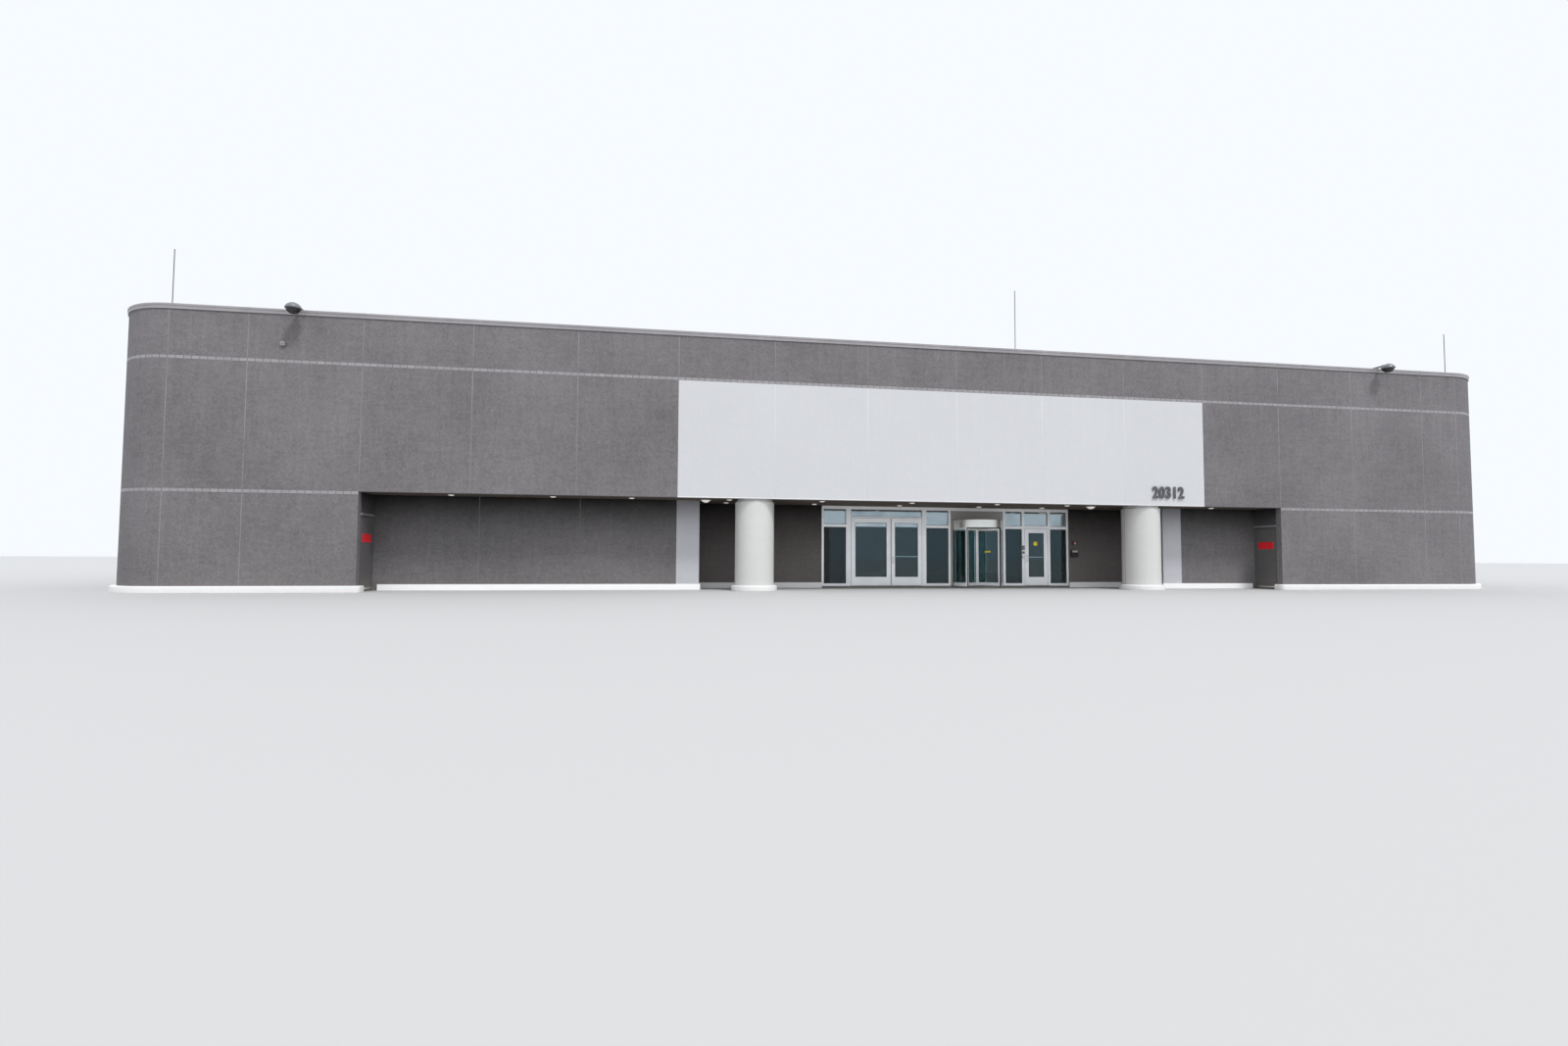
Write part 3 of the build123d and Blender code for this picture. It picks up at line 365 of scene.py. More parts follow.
# %% Tiles, grout, sealant and plinths
tile_glaze, tree, shader = new_finish("belt_tile_glaze", srgb((145, 142, 144)), 0.5)
shade = add_node(tree, "NewGeometry", {}, "Random Per Island")
tint = add_colour_mix(tree, shade, srgb((140, 137, 139)), srgb((150, 147, 149)))
feed(shader, {"Base Color": stain(tree, tint, (114, 111, 110), streaks, Top=5, Length=6,
                                  Density=0.12)})
bump(tree, shader, add_noise(tree, 60), 0.0006)

belt_bed, tree, shader, _, grain = mottled_finish(
    "belt_tile_bed", (114, 112, 114), (98, 96, 98), 0.9, (1, 20, 160), 0.35)
bump(tree, shader, grain, 0.001)


def old_sealant(name, light, dark):
    """Sealant that has gone blotchy and slightly wavy."""
    material, tree, shader, _, _ = mottled_finish(name, light, dark, 0.6, (2, 14, 60), 0.3)
    bump(tree, shader, add_noise(tree, 24, 2), 0.002)
    return material


def plinth_coat(name, light, dark, dust):
    """Thick white paint, chipped, with dust along the ground."""
    material, tree, shader, colour, grain = mottled_finish(
        name, light, dark, 0.6, (1.2, 16, 110), 0.3)
    colour = stain(tree, colour, (176, 166, 154), splash, Reach=0.08, Density=dust)
    chips = add_range(tree, add_noise(tree, 26, 5, 0.7), 0.68, 0.72)
    feed(shader, {"Base Color": add_colour_mix(tree, chips, colour, srgb((150, 145, 140)))})
    bump(tree, shader, add_math(tree, "SUBTRACT", grain, chips), 0.0015)
    return material


dark_sealant = old_sealant("wall_sealant", (146, 143, 145), (99, 97, 99))
recess_sealant = old_sealant("recess_sealant", (126, 123, 122), (78, 76, 75))
pale_sealant = old_sealant("fascia_sealant", (206, 207, 209), (194, 195, 198))
plinth_paint = plinth_coat("white_plinth_paint", (232, 232, 232), (222, 222, 222), 0.2)
# Painted light: a brighter, cleaner copy of the plinth paint for the plinths in the shaded
# recess.
painted_light_plinth_paint = plinth_coat("recess_plinth_paint_painted_light", (246, 246, 246), (238, 238, 238), 0.05)

# %% [markdown]
# The column covers are smooth sheet metal painted light grey. The coping is
# bent sheet too, in a mid grey that has faded unevenly. Both are painted, so
# Metallic stays at 0 and a light coat gives the sheen.

# %% Painted sheet metal
def sheet_paint(name, light, dark, roughness, dirt, reach=0.25, density=0.4, coat=0.12):
    """Painted sheet: faint clouds, light ripples, and dirt at its foot."""
    material, tree, shader, colour, _ = mottled_finish(
        name, light, dark, roughness, (0.8, 5, 120), 0.12)
    colour = stain(tree, colour, dark, streaks, Top=4.2, Length=5, Density=0.35)
    colour = stain(tree, colour, dirt, splash, Reach=reach, Density=density)
    feed(shader, {"Base Color": colour, "Coat Weight": coat, "Coat Roughness": 0.35})
    bump(tree, shader, add_noise(tree, 5, 2, stretch=(1, 1, 0.3)), 0.003, 0.3)
    return material


column_paint = sheet_paint("column_cover_paint", (206, 206, 203), (197, 197, 194), 0.48,
                           (178, 172, 165), 0.15, 0.3)
coping_paint = sheet_paint("coping_sheet_paint", (159, 155, 157), (136, 133, 135), 0.5,
                           (116, 112, 109))
fire_door_paint = sheet_paint("fire_door_paint", (104, 102, 102), (88, 86, 86), 0.55,
                              (110, 103, 96), 0.35, 0.6)
lamp_paint = sheet_paint("lamp_housing_paint", (122, 121, 124), (104, 103, 106), 0.4,
                         (100, 97, 94))
rod_paint = sheet_paint("rod_metal", (102, 100, 98), (72, 66, 62), 0.5, (100, 92, 84))
red_paint = sheet_paint("red_plate_paint", (240, 32, 46), (224, 28, 42), 0.35,
                        (172, 60, 60), coat=0.4)

# %% [markdown]
# Storefront frames are clear anodised aluminium. The canopy of the revolving
# door is brushed stainless steel, whose lines run round it: the brushing has
# very thin layers in height, which on a drum reads as turned metal.

# %% Bare metals
def bare_metal(name, colour, smooth, rough, metallic):
    """Metal with brushed lines in its roughness and a faint colour change."""
    bright = srgb(colour)
    dull = (*(value * 0.84 for value in bright[:3]), 1)
    material, tree, shader = new_finish(name, bright, smooth, metallic)
    roughness = add_node(tree, "Group", {"Smooth": smooth, "Rough": rough}, "Roughness",
                         node_tree=brushed)
    patchy = add_range(tree, add_noise(tree, 4, 4), 0.4, 0.9)
    feed(shader, {"Base Color": add_colour_mix(tree, patchy, bright, dull),
                  "Roughness": roughness})
    bump(tree, shader, roughness.node.outputs["Lines"], 0.0002, 0.5)
    return material


aluminium = bare_metal("anodised_aluminium", (252, 252, 252), 0.34, 0.48, 0.35)
stainless = bare_metal("brushed_stainless", (244, 240, 232), 0.24, 0.4, 0.9)
satin = bare_metal("satin_door_furniture", (246, 246, 244), 0.25, 0.4, 0.4)
worn_steel = bare_metal("worn_plate_steel", (122, 118, 114), 0.45, 0.65, 0.5)
panel_metal = bare_metal("entrance_panel_metal", (166, 160, 156), 0.4, 0.6, 0.5)
dark_metal = bare_metal("number_metal", (94, 94, 97), 0.4, 0.6, 0.3)

# %% [markdown]
# The panes are dark heat-reflecting glass. Real glass is clear inside and only
# mirrors more at a slant, which Transmission and the IOR do by themselves. A
# faint film of dust lifts the roughness here and there. The upper lights carry a
# reflecting film, which mirrors the sky: a coat above the level of the transoms.

# %% Glass
def pane_glass(name, colour, roughness, film_level=None):
    """Glass with a thin uneven film of dust, and a reflecting coat above a level."""
    material, tree, shader = new_finish(name, srgb(colour), roughness)
    dust = add_range(tree, add_noise(tree, 2.5, 5, stretch=(1, 1, 0.6)), 0.4, 0.8,
                     roughness, roughness + 0.05)
    feed(shader, {"Transmission Weight": 1, "IOR": 1.52, "Roughness": dust,
                  "Specular Tint": (0.78, 0.95, 1, 1)})
    if film_level:
        ripple = add_range(tree, add_noise(tree, 1.4, 2), 0, 0.55)
        high = add_math(tree, "GREATER_THAN", object_height(tree), film_level)
        feed(shader, {"Coat IOR": 3.6, "Coat Roughness": 0.05,
                      "Coat Weight": add_product(tree, high, ripple)})
    return material


transom_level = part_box("single_door")[1].z
tinted_glass = pane_glass("tinted_pane_glass", (128, 156, 160), 0.012, transom_level)
door_glass = pane_glass("door_pane_glass", (216, 230, 230), 0.012, transom_level)
drum_glass = pane_glass("drum_pane_glass", (206, 232, 232), 0.01)

# %% [markdown]
# Boards, rubber, vinyl and plastics need less: two tones that lie close, in a
# grain as fine as the real material's, and a small relief where it is rough. The
# lenses of the ceiling lights are opal and glow a little.

# %% Boards, rubber and small plastics
def plain_finish(name, light, dark, roughness, scale, relief=0):
    """A two-tone grain at a stated scale."""
    material, tree, shader, _, grain = mottled_finish(
        name, light, dark, roughness, (scale * 0.1, scale, scale * 8), 0.4)
    if relief:
        bump(tree, shader, grain, relief)
    return material


rubber = plain_finish("black_gasket_rubber", (38, 38, 40), (24, 24, 25), 0.7, 30, 0.0004)
black_plastic = plain_finish("black_box_plastic", (44, 43, 44), (30, 29, 30), 0.4, 20, 0.0003)
pale_plastic = plain_finish("pale_box_plastic", (198, 197, 194), (182, 181, 178), 0.45, 20,
                            0.0003)
grey_plastic = plain_finish("sensor_cover_plastic", (152, 150, 148), (134, 132, 130), 0.6,
                            20, 0.0003)
soffit_board = plain_finish("soffit_boards", (88, 78, 69), (66, 57, 49), 0.8, 6, 0.001)
floor_concrete = plain_finish("hall_floor_concrete", (122, 119, 115), (100, 97, 93), 0.75, 5,
                              0.001)
roof_felt = plain_finish("roof_membrane", (150, 150, 148), (118, 118, 116), 0.85, 4, 0.002)
yellow_vinyl = plain_finish("yellow_sticker_vinyl", (252, 232, 46), (240, 218, 38), 0.35, 40)
trim_white = plain_finish("lamp_trim_white", (232, 231, 228), (214, 213, 209), 0.4, 30)
opal = plain_finish("opal_lamp_glass", (240, 240, 236), (228, 228, 223), 0.2, 12)
feed(opal.node_tree.nodes["Principled BSDF"],
     {"Emission Color": (1, 0.97, 0.92, 1), "Emission Strength": 0.3})
brush_hair = plain_finish("seal_brush_hair", (30, 30, 31), (16, 16, 17), 0.85, 60, 0.001)
lamp_lens = plain_finish("floodlight_bowl", (46, 46, 48), (22, 22, 24), 0.12, 9)

# %% [markdown]
# The floor is plain and matt, about as bright as weathered concrete, because it
# lights the recess from below and is what the lower panes mirror.

# %% Studio floor
floor_paint, _, _ = new_finish("studio_floor_paint", (0.46, 0.455, 0.455, 1), 0.9)
ground.data.materials.append(floor_paint)

# %% [markdown]
# Each node keeps its shape and only changes its slot's material. A table says
# which finish goes on which nodes; what it doesn't name is a dark painted wall.

# %% Finishes for the nodes
finish_table = (
    (aluminium, "storefront_posts storefront_head storefront_rails double_door_left "
                "double_door_right single_door revolving_door_drum_frame "
                "revolving_door_wings revolving_door_shaft"),
    (stainless, "revolving_door_canopy"), (panel_metal, "revolving_door_surround"),
    (satin, "double_door_right_furniture single_door_furniture"),
    (brush_hair, "revolving_door_seals"), (tinted_glass, "storefront_glass"),
    (door_glass, "double_door_left_glass double_door_right_glass single_door_glass"),
    (drum_glass, "revolving_door_drum_glass revolving_door_wing_glass"),
    (recess_paint, "recess_walls fire_door_lintels"),
    (entrance_paint, "entrance_walls entrance_side_walls"),
    (pale_paint, "entrance_fascia"), (pier_paint, "light_piers"), (belt_bed, "tile_belts"),
    (plinth_paint, "plinth_straights plinth_corners column_base_rings"),
    (painted_light_plinth_paint, "recess_plinths"), (column_paint, "columns"),
    (coping_paint, "coping_straights coping_corners"), (roof_felt, "roof_deck"),
    (floor_concrete, "floor_slab revolving_door_floor"), (soffit_board, "soffit"),
    (fire_door_paint, "fire_door_frames fire_door_left fire_door_right"),
    (trim_white, "downlights"), (opal, "dome_lights"), (lamp_paint, "floodlights"),
    (rod_paint, "roof_rods"), (black_plastic, "wall_boxes"),
)
finish_of = {name: finish for finish, names in finish_table for name in names.split()}
for name, node in nodes.items():
    node.data.materials.clear()
    node.data.materials.append(finish_of.get(name, dark_paint))
print("finishes on", len(nodes), "nodes")

# %% [markdown]
# New pieces are made as by hand: add a primitive, shape it in edit mode, finish
# it with a modifier. Everything is deselected first, because an operator acts on
# whatever is selected. What repeats is modelled once, copied and joined.

# %% Helpers for modelling
facing_front = (math.pi / 2, 0, 0)


def pick(*pieces):
    """Selects the given pieces and nothing else, and makes the first one active."""
    bpy.ops.object.select_all(action="DESELECT")
    for piece in pieces:
        piece.select_set(True)
    if pieces:
        bpy.context.view_layer.objects.active = pieces[0]


@contextmanager
def edit_mode(action="SELECT"):
    """Opens edit mode on the active piece; an action of None keeps the selection."""
    bpy.ops.object.mode_set(mode="EDIT")
    if action:
        bpy.ops.mesh.select_all(action=action)
    yield
    bpy.ops.object.mode_set(mode="OBJECT")


def select_faces(piece, axis):
    """Selects the faces of a piece that look along an axis."""
    for face in piece.data.polygons:
        face.select = abs(face.normal[axis]) > 0.9


def apply_place(piece):
    """Moves a piece's place, turn and size into its mesh."""
    pick(piece)
    bpy.ops.object.transform_apply(location=True, rotation=True, scale=True)


def block(name, low, high, edge=0, segments=1):
    """Adds a block between two corners, with all its edges bevelled."""
    pick()
    bpy.ops.mesh.primitive_cube_add(size=1, location=[(a + b) / 2 for a, b in zip(low, high)])
    piece = bpy.context.object
    piece.name = name
    piece.scale = [abs(b - a) for a, b in zip(low, high)]
    apply_place(piece)
    if edge:
        with edit_mode():
            bpy.ops.mesh.bevel(offset=edge, segments=segments, affect="EDGES")
    return piece


def disc(name, centre, radius, depth, edge, vertices=32, segments=2, turn=facing_front):
    """Adds a round plate about a centre, with its rims bevelled."""
    pick()
    bpy.ops.mesh.primitive_cylinder_add(vertices=vertices, radius=radius, depth=depth,
                                        location=centre, rotation=turn)
    piece = bpy.context.object
    piece.name = name
    with edit_mode("DESELECT"):
        bpy.ops.mesh.select_mode(type="FACE")
    select_faces(piece, 2)
    with edit_mode(None):
        bpy.ops.mesh.bevel(offset=edge, segments=segments, affect="EDGES")
    apply_place(piece)
    return piece


def frame_ring(name, low, high, width):
    """Adds a block with a rectangular hole through it from front to back."""
    piece = block(name, low, high)
    select_faces(piece, 1)
    with edit_mode(None):
        bpy.ops.mesh.select_mode(type="FACE")
        bpy.ops.mesh.inset(thickness=width, use_individual=True)
        bpy.ops.mesh.bridge_edge_loops()
    return piece


def turned(piece, angle, location=(0, 0, 0)):
    """Turns a piece about the upright axis, and moves it."""
    piece.rotation_euler.z = angle
    piece.location = location
    return piece


def copy_of(piece):
    """Copies a piece with its own mesh."""
    twin = piece.copy()
    twin.data = piece.data.copy()
    bpy.context.collection.objects.link(twin)
    return twin


def join(name, pieces):
    """Joins pieces into one, with its place in its mesh."""
    pick(*pieces)
    bpy.ops.object.transform_apply(location=True, rotation=True, scale=True)
    if len(pieces) > 1:
        bpy.ops.object.join()
    pieces[0].name = name
    return pieces[0]


def row(piece, count, step):
    """Repeats a piece along X with an Array modifier, and applies it."""
    array = piece.modifiers.new("row", "ARRAY")
    array.count = count
    array.use_relative_offset = False
    array.use_constant_offset = True
    array.constant_offset_displace = (step, 0, 0)
    pick(piece)
    bpy.ops.object.modifier_apply(modifier="row")
    return piece


def dress(piece, material, body="building", smooth=False):
    """Gives a piece its finish, and lets it ride on a body."""
    piece.data.materials.clear()
    piece.data.materials.append(material)
    if smooth:
        pick(piece)
        bpy.ops.object.shade_smooth_by_angle(angle=math.radians(35))
    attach(piece, body)
    print(f"{piece.name}: {len(piece.data.polygons)} faces")


# %% [markdown]
# Two belts of tiles run round the building, 15 tiles to a wall panel. A tile is
# modelled once per run as a thin bevelled block, and an Array modifier lays the
# run. Every run is laid on the front wall, and those of the other walls are then
# turned to their place. The lower belt stops at the recess.

# %% Belt tiles on the flat walls
panel, end_panel = 1.524, 1.014
panels, panel_tiles = 13, 15
tile_joint, tile_margin, tile_depth, tile_edge = 0.0085, 0.0015, 0.003, 0.0009
half_width, side_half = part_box("side_walls")[1].xy
half_depth = -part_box("front_walls")[0].y
flat_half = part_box("front_walls")[1].x
first_joint = -flat_half + end_panel
last_joint = first_joint + panels * panel
recess_left, recess_right = first_joint + panel, first_joint + 11 * panel
side_turns = (math.pi / 2, -math.pi / 2)


def to_side(piece, turn, shift=(0, 0, 0)):
    """Turns a row from the front to a side wall, after a shift along the front."""
    piece.location = shift
    apply_place(piece)
    return turned(piece, turn, (math.copysign(half_width, turn), 0, 0))


def tile_run(start, end, count, level):
    """Lays a row of tiles on the front wall between two places."""
    step = (end - start) / count
    tile = block("tile", (start + tile_joint / 2, -half_depth, level + tile_margin),
                 (start + step - tile_joint / 2, -half_depth + tile_depth,
                  level + belt_height - tile_margin), tile_edge)
    return row(tile, count, step)


end_stretches = [(-flat_half, first_joint, 10), (last_joint, flat_half, 8)]
whole_belt = end_stretches + [(first_joint, last_joint, panels * panel_tiles)]
broken_belt = end_stretches + [(first_joint, recess_left, panel_tiles),
                               (recess_right, last_joint, 2 * panel_tiles)]
tile_runs = []
for level, front_belt in ((lower_belt_low, broken_belt), (upper_belt_low, whole_belt)):
    tile_runs += [tile_run(*stretch, level) for stretch in front_belt]
    tile_runs += [turned(tile_run(*stretch, level), math.pi) for stretch in whole_belt]
    tile_runs += [to_side(tile_run(-side_half, side_half, 8 * panel_tiles, level), turn,
                          (0, half_depth, 0)) for turn in side_turns]
dress(join("belt_tiles_flat", tile_runs), tile_glaze)

# %% [markdown]
# Round a corner, Spin copies a tile about the corner's centre, a step of the
# quarter turn at a time.

# %% Belt tiles round the corners
corner_radius, corner_count = 0.914, 14
corner_step = math.pi / 2 / corner_count
half_tile = (corner_radius * corner_step - tile_joint) / 2
corner_tiles = []
for level in (lower_belt_low, upper_belt_low):
    for quarter, (x_side, y_side) in enumerate(((1, 1), (-1, 1), (-1, -1), (1, -1))):
        centre = (x_side * flat_half, y_side * side_half, 0)
        tile = block("tile", (corner_radius - tile_depth, -half_tile, level + tile_margin),
                     (corner_radius, half_tile, level + belt_height - tile_margin), tile_edge)
        apply_place(turned(tile, quarter * math.pi / 2 + corner_step / 2, centre))
        with edit_mode():
            bpy.ops.mesh.spin(steps=corner_count - 1, dupli=True,
                              angle=-corner_step * (corner_count - 1),
                              center=centre, axis=(0, 0, 1))
        corner_tiles.append(tile)
dress(join("belt_tiles_corners", corner_tiles), tile_glaze)

# %% [markdown]
# Sealant fills the open joints between wall panels, and stands a little proud
# where the trowel left it. One bead is a long block with rounded edges. It is
# made for each height between the belts, and rows of it go round the walls.

# %% Sealant in the panel joints
bead_half, bead_depth, bead_proud, bead_edge = 0.0065, 0.003, 0.0006, 0.002
plinth_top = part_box("plinth_straights")[1].z
coping_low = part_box("coping_straights")[0].z
recess_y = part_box("recess_walls")[0].y
tiers = {"low": (plinth_top, lower_belt_low),
         "middle": (lower_belt_low + belt_height, upper_belt_low),
         "top": (upper_belt_low + belt_height, coping_low),
         "recess": (plinth_top, soffit_level)}


def bead_row(start, count, tier, face=-half_depth):
    """Adds upright beads of sealant, a panel apart, on a wall that faces the front."""
    low, high = tiers[tier]
    bead = block("bead", (start - bead_half, face - bead_proud, low),
                 (start + bead_half, face + bead_depth, high), bead_edge, 2)
    return row(bead, count, panel)


wall_beads = [bead_row(first_joint, 14, "top"), bead_row(first_joint, 1, "low"),
              bead_row(last_joint - panel, 2, "low"), bead_row(first_joint, 4, "middle"),
              bead_row(last_joint - 2 * panel, 3, "middle")]
wall_tiers = ("low", "middle", "top")
for tier in wall_tiers:
    wall_beads.append(turned(bead_row(first_joint, 14, tier), math.pi))
    wall_beads += [to_side(bead_row(-side_half, 9, tier, 0), turn) for turn in side_turns]
wall_beads += [turned(bead_row(x, 1, tier), turn) for tier in wall_tiers
               for turn in (0, math.pi) for x in (-flat_half, flat_half)]
fascia_low, fascia_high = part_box("entrance_fascia")
recess_beads = bead_row(first_joint + 2 * panel, 2, "recess", recess_y)
fascia_beads = bead_row(fascia_low.x + panel, 5, "middle")
dress(join("panel_sealant_recess", [recess_beads]), recess_sealant,
      smooth=True)
dress(join("panel_sealant_dark", wall_beads), dark_sealant, smooth=True)
dress(join("panel_sealant_fascia", [fascia_beads]), pale_sealant,
      smooth=True)

# %% [markdown]
# The plaster of the fascia ends at its lower edge on a white drip profile, a thin
# bright line over the dark recess. It is a bevelled strip, a little proud of the
# wall, as long as the fascia.

# %% Drip edge of the fascia
drip_edge = block("fascia_drip_edge", (fascia_low.x, -half_depth - 0.003, fascia_low.z),
                  (fascia_high.x, -half_depth + 0.001, fascia_low.z + 0.012), 0.001)
dress(drip_edge, plinth_paint)

# %% [markdown]
# Some pieces belong to each solid of a node, such as the gasket of every pane. A
# copy of the node is split into its loose parts to read their boxes, and removed
# again, so that the places come from the model and aren't typed in twice.

# %% Boxes of the solids of a node
def solid_boxes(name):
    """Boxes of the separate solids of one node, from left to right."""
    pick(copy_of(nodes[name]))
    with edit_mode():
        bpy.ops.mesh.remove_doubles(threshold=0.0001)
        bpy.ops.mesh.separate(type="LOOSE")
    boxes = []
    for part in list(bpy.context.selected_objects):
        sides = list(zip(*(part.matrix_world @ vertex.co for vertex in part.data.vertices)))
        boxes.append((Vector(map(min, sides)), Vector(map(max, sides))))
        bpy.data.objects.remove(part)
    return sorted(boxes, key=lambda box: (round(box[0].x, 3), box[0].z))


# %% [markdown]
# Each pane is held by a black gasket that grips its edge on both faces. Seen from
# the front it is the dark line between the bright frame and the glass. It is a
# ring: a block inset and bridged through, a little thicker than the pane, and the
# gaskets of a door leaf ride on that leaf. Known fault: the first ring is inset with
# all six faces selected, as face mode is off before it, so stray sheets cross the
# lower pane left of the double door. Deselecting in face mode first would mend it.

# %% Glazing gaskets
gasket_width, gasket_proud, pane_gap = 0.007, 0.0025, 0.0003


def gasket(low, high):
    """Adds the gasket of the pane with the given box."""
    margins = (pane_gap, gasket_proud, pane_gap)
    return frame_ring("gasket", [side - margin for side, margin in zip(low, margins)],
                      [side + margin for side, margin in zip(high, margins)], gasket_width)


dress(join("storefront_gaskets", [gasket(*box) for box in solid_boxes("storefront_glass")]),
      rubber)
for door in ("double_door_left", "double_door_right", "single_door"):
    dress(join(door + "_gasket", [gasket(*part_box(door + "_glass"))]), rubber,
          door + "_leaf")

# %% [markdown]
# The leaves of the double door meet at a black weather strip on the edge of the narrow leaf.
# Under the double door and the single door lies a thin metal saddle, lower than the gap below
# the leaves, so that they pass over it.

# %% Weather strip and saddles
frame_front, frame_back = (corner.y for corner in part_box("storefront_head"))
narrow_low, narrow_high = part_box("double_door_right")
single_low, single_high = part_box("single_door")
double_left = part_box("double_door_left")[0].x
stile_width, strip_width = 0.0748, 0.007
strip_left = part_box("double_door_right_glass")[0].x - stile_width
strip = block("meeting_strip", (strip_left, frame_front - 0.0016, narrow_low.z + 0.002),
              (strip_left + strip_width, frame_front, narrow_high.z - 0.002), 0.0006)
dress(strip, rubber, "double_door_right_leaf")

floor_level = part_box("floor_slab")[1].z
saddles = []
for left, right in ((double_left, narrow_high.x), (single_low.x, single_high.x)):
    left, right = left + 0.02, right - 0.02
    saddles += [block("saddle", (left, frame_front + 0.004, floor_level),
                      (right, frame_back - 0.002, floor_level + 0.001), 0.0004),
                block("saddle_rib", (left, frame_front + 0.03, floor_level + 0.0006),
                      (right, frame_front + 0.033, floor_level + 0.0012))]
dress(join("door_saddles", saddles), stainless)

# %% [markdown]
# The revolving door seals with brushes. The wings carry theirs in the solids; fixed ones line
# the opening: one up each edge of the drum glass and a low one on the floor ring. Two black
# strips, one round the rim under the canopy and one in the groove of the canopy, are painted
# shadow: they stand for the dark shadow line under the canopy. Together they give the opening
# its black outline. Each is a short block spun about the drum's axis.

# %% Brushes and painted shadow strips of the revolving door
drum_low, drum_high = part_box("revolving_door_drum_frame")
drum_axis = ((drum_low.x + drum_high.x) / 2, (drum_low.y + drum_high.y) / 2, 0)
canopy_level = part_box("revolving_door_canopy")[0].z
drum_inner, drum_outer = 0.449, 0.463
canopy_rim_radius, canopy_radius, canopy_groove = 0.464, 0.469, 0.010


def ring_sector(inner, outer, bottom, top, start, end, steps):
    """Spins an upright rectangle about the drum's axis between two angles in degrees."""
    pick()
    bpy.ops.mesh.primitive_plane_add(size=1, rotation=facing_front,
                                     location=((inner + outer) / 2, 0, (bottom + top) / 2))
    piece = bpy.context.object
    piece.name = "brush"
    piece.scale = (outer - inner, top - bottom, 1)
    apply_place(piece)
    apply_place(turned(piece, math.radians(start), drum_axis))
    with edit_mode():
        bpy.ops.mesh.spin(steps=steps, angle=-math.radians(end - start),
                          center=drum_axis, axis=(0, 0, 1))
        bpy.ops.mesh.select_all(action="SELECT")
        bpy.ops.mesh.remove_doubles(threshold=0.00001)
        bpy.ops.mesh.normals_make_consistent(inside=False)
    return piece


brush_turn, half_opening, arc_steps = 1.1, 45, 24
upright_brush = (drum_inner + 0.001, drum_outer - 0.001, floor_level, canopy_level)
# The first two arcs are black strips of painted shadow under the canopy; the third is the
# floor brush.
arc_seals_and_shadow_strips = (
    (drum_inner + 0.002, canopy_radius - 0.002, canopy_level - 0.006, canopy_level),
    (canopy_rim_radius, canopy_radius - 0.001, canopy_level,
     canopy_level + canopy_groove - 0.002),
    (drum_inner + 0.002, drum_outer - 0.002, floor_level, floor_level + 0.004))
brushes = []
for opening in (-90, 90):
    start, end = opening - half_opening, opening + half_opening
    brushes += [ring_sector(*upright_brush, start, start + brush_turn, 1),
                ring_sector(*upright_brush, end - brush_turn, end, 1)]
    brushes += [ring_sector(*brush, start, end, arc_steps) for brush in arc_seals_and_shadow_strips]
dress(join("revolving_door_brushes_and_shadow_strips", brushes), brush_hair, smooth=True)

# %% [markdown]
# The wings turn with the rotor, and so do their gaskets and the yellow strip on
# the front right wing. Each gasket is made round a wing that lies along the X
# axis, and then turned to the angle of its wing. The single door's sticker is a
# thin disc on its glass.

# %% Gaskets of the wings, and stickers
wing_pane = Vector((0.0436, -0.004, 0.0943)), Vector((0.4077, 0.004, 1.0397))
wing_gaskets = [turned(gasket(*wing_pane), math.radians(angle), drum_axis)
                for angle in (45, 135, 225, 315)]
dress(join("wing_gaskets", wing_gaskets), rubber, "revolving_door_rotor")

sticker_x, sticker_level, sticker_thickness = 0.212, 0.655, 0.0006
sticker_half_length, sticker_half_height, sticker_wing = 0.056, 0.014, 315
strip = block("wing_sticker",
              (sticker_x - sticker_half_length, wing_pane[0].y - sticker_thickness,
               sticker_level - sticker_half_height),
              (sticker_x + sticker_half_length, wing_pane[0].y,
               sticker_level + sticker_half_height), 0.0002)
apply_place(turned(strip, math.radians(sticker_wing), drum_axis))
dress(strip, yellow_vinyl, "revolving_door_rotor")

glass_low, glass_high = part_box("single_door_glass")
door_sticker = disc("single_door_sticker", (glass_low.x * 0.54 + glass_high.x * 0.46,
                                            glass_low.y - sticker_thickness / 2, 0.812),
                    0.042, sticker_thickness, 0.0002)
dress(door_sticker, yellow_vinyl, "single_door_leaf", smooth=True)

# %% [markdown]
# Downlights have a bulging opal lens below their white ring: from far in front,
# where the ceiling is seen at a very flat angle, it is the lens that shows as a
# small bright oval. A sphere is cut in half, flattened, and closed by its rim. The
# ring round a dome light is a torus cut flat where it meets the ceiling, and its
# two cut edges are bridged.

# %% Lenses and rings of the ceiling lights
def lens_cap(x, y, level, radius, drop):
    """Lower half of a flattened sphere below the given level."""
    pick()
    bpy.ops.mesh.primitive_uv_sphere_add(segments=24, ring_count=12, radius=1)
    cap = bpy.context.object
    with edit_mode():
        bpy.ops.mesh.bisect(plane_co=(0, 0, 0), plane_no=(0, 0, 1), clear_outer=True,
                            use_fill=True)
    cap.scale = (radius, radius, drop)
    cap.location = (x, y, level)
    apply_place(cap)
    return cap


def half_round_ring(x, y, level, radius, thickness):
    """A ring whose lower side is round and whose upper side is cut flat at a level."""
    pick()
    bpy.ops.mesh.primitive_torus_add(major_radius=radius, minor_radius=thickness,
                                     major_segments=40, minor_segments=12,
                                     location=(x, y, level))
    ring = bpy.context.object
    apply_place(ring)
    with edit_mode():
        bpy.ops.mesh.bisect(plane_co=(x, y, level), plane_no=(0, 0, 1), clear_outer=True)
        bpy.ops.mesh.select_mode(type="EDGE")
        bpy.ops.mesh.select_all(action="DESELECT")
        bpy.ops.mesh.select_non_manifold()
        bpy.ops.mesh.bridge_edge_loops()
        bpy.ops.mesh.select_all(action="SELECT")
        bpy.ops.mesh.normals_make_consistent(inside=False)
    return ring


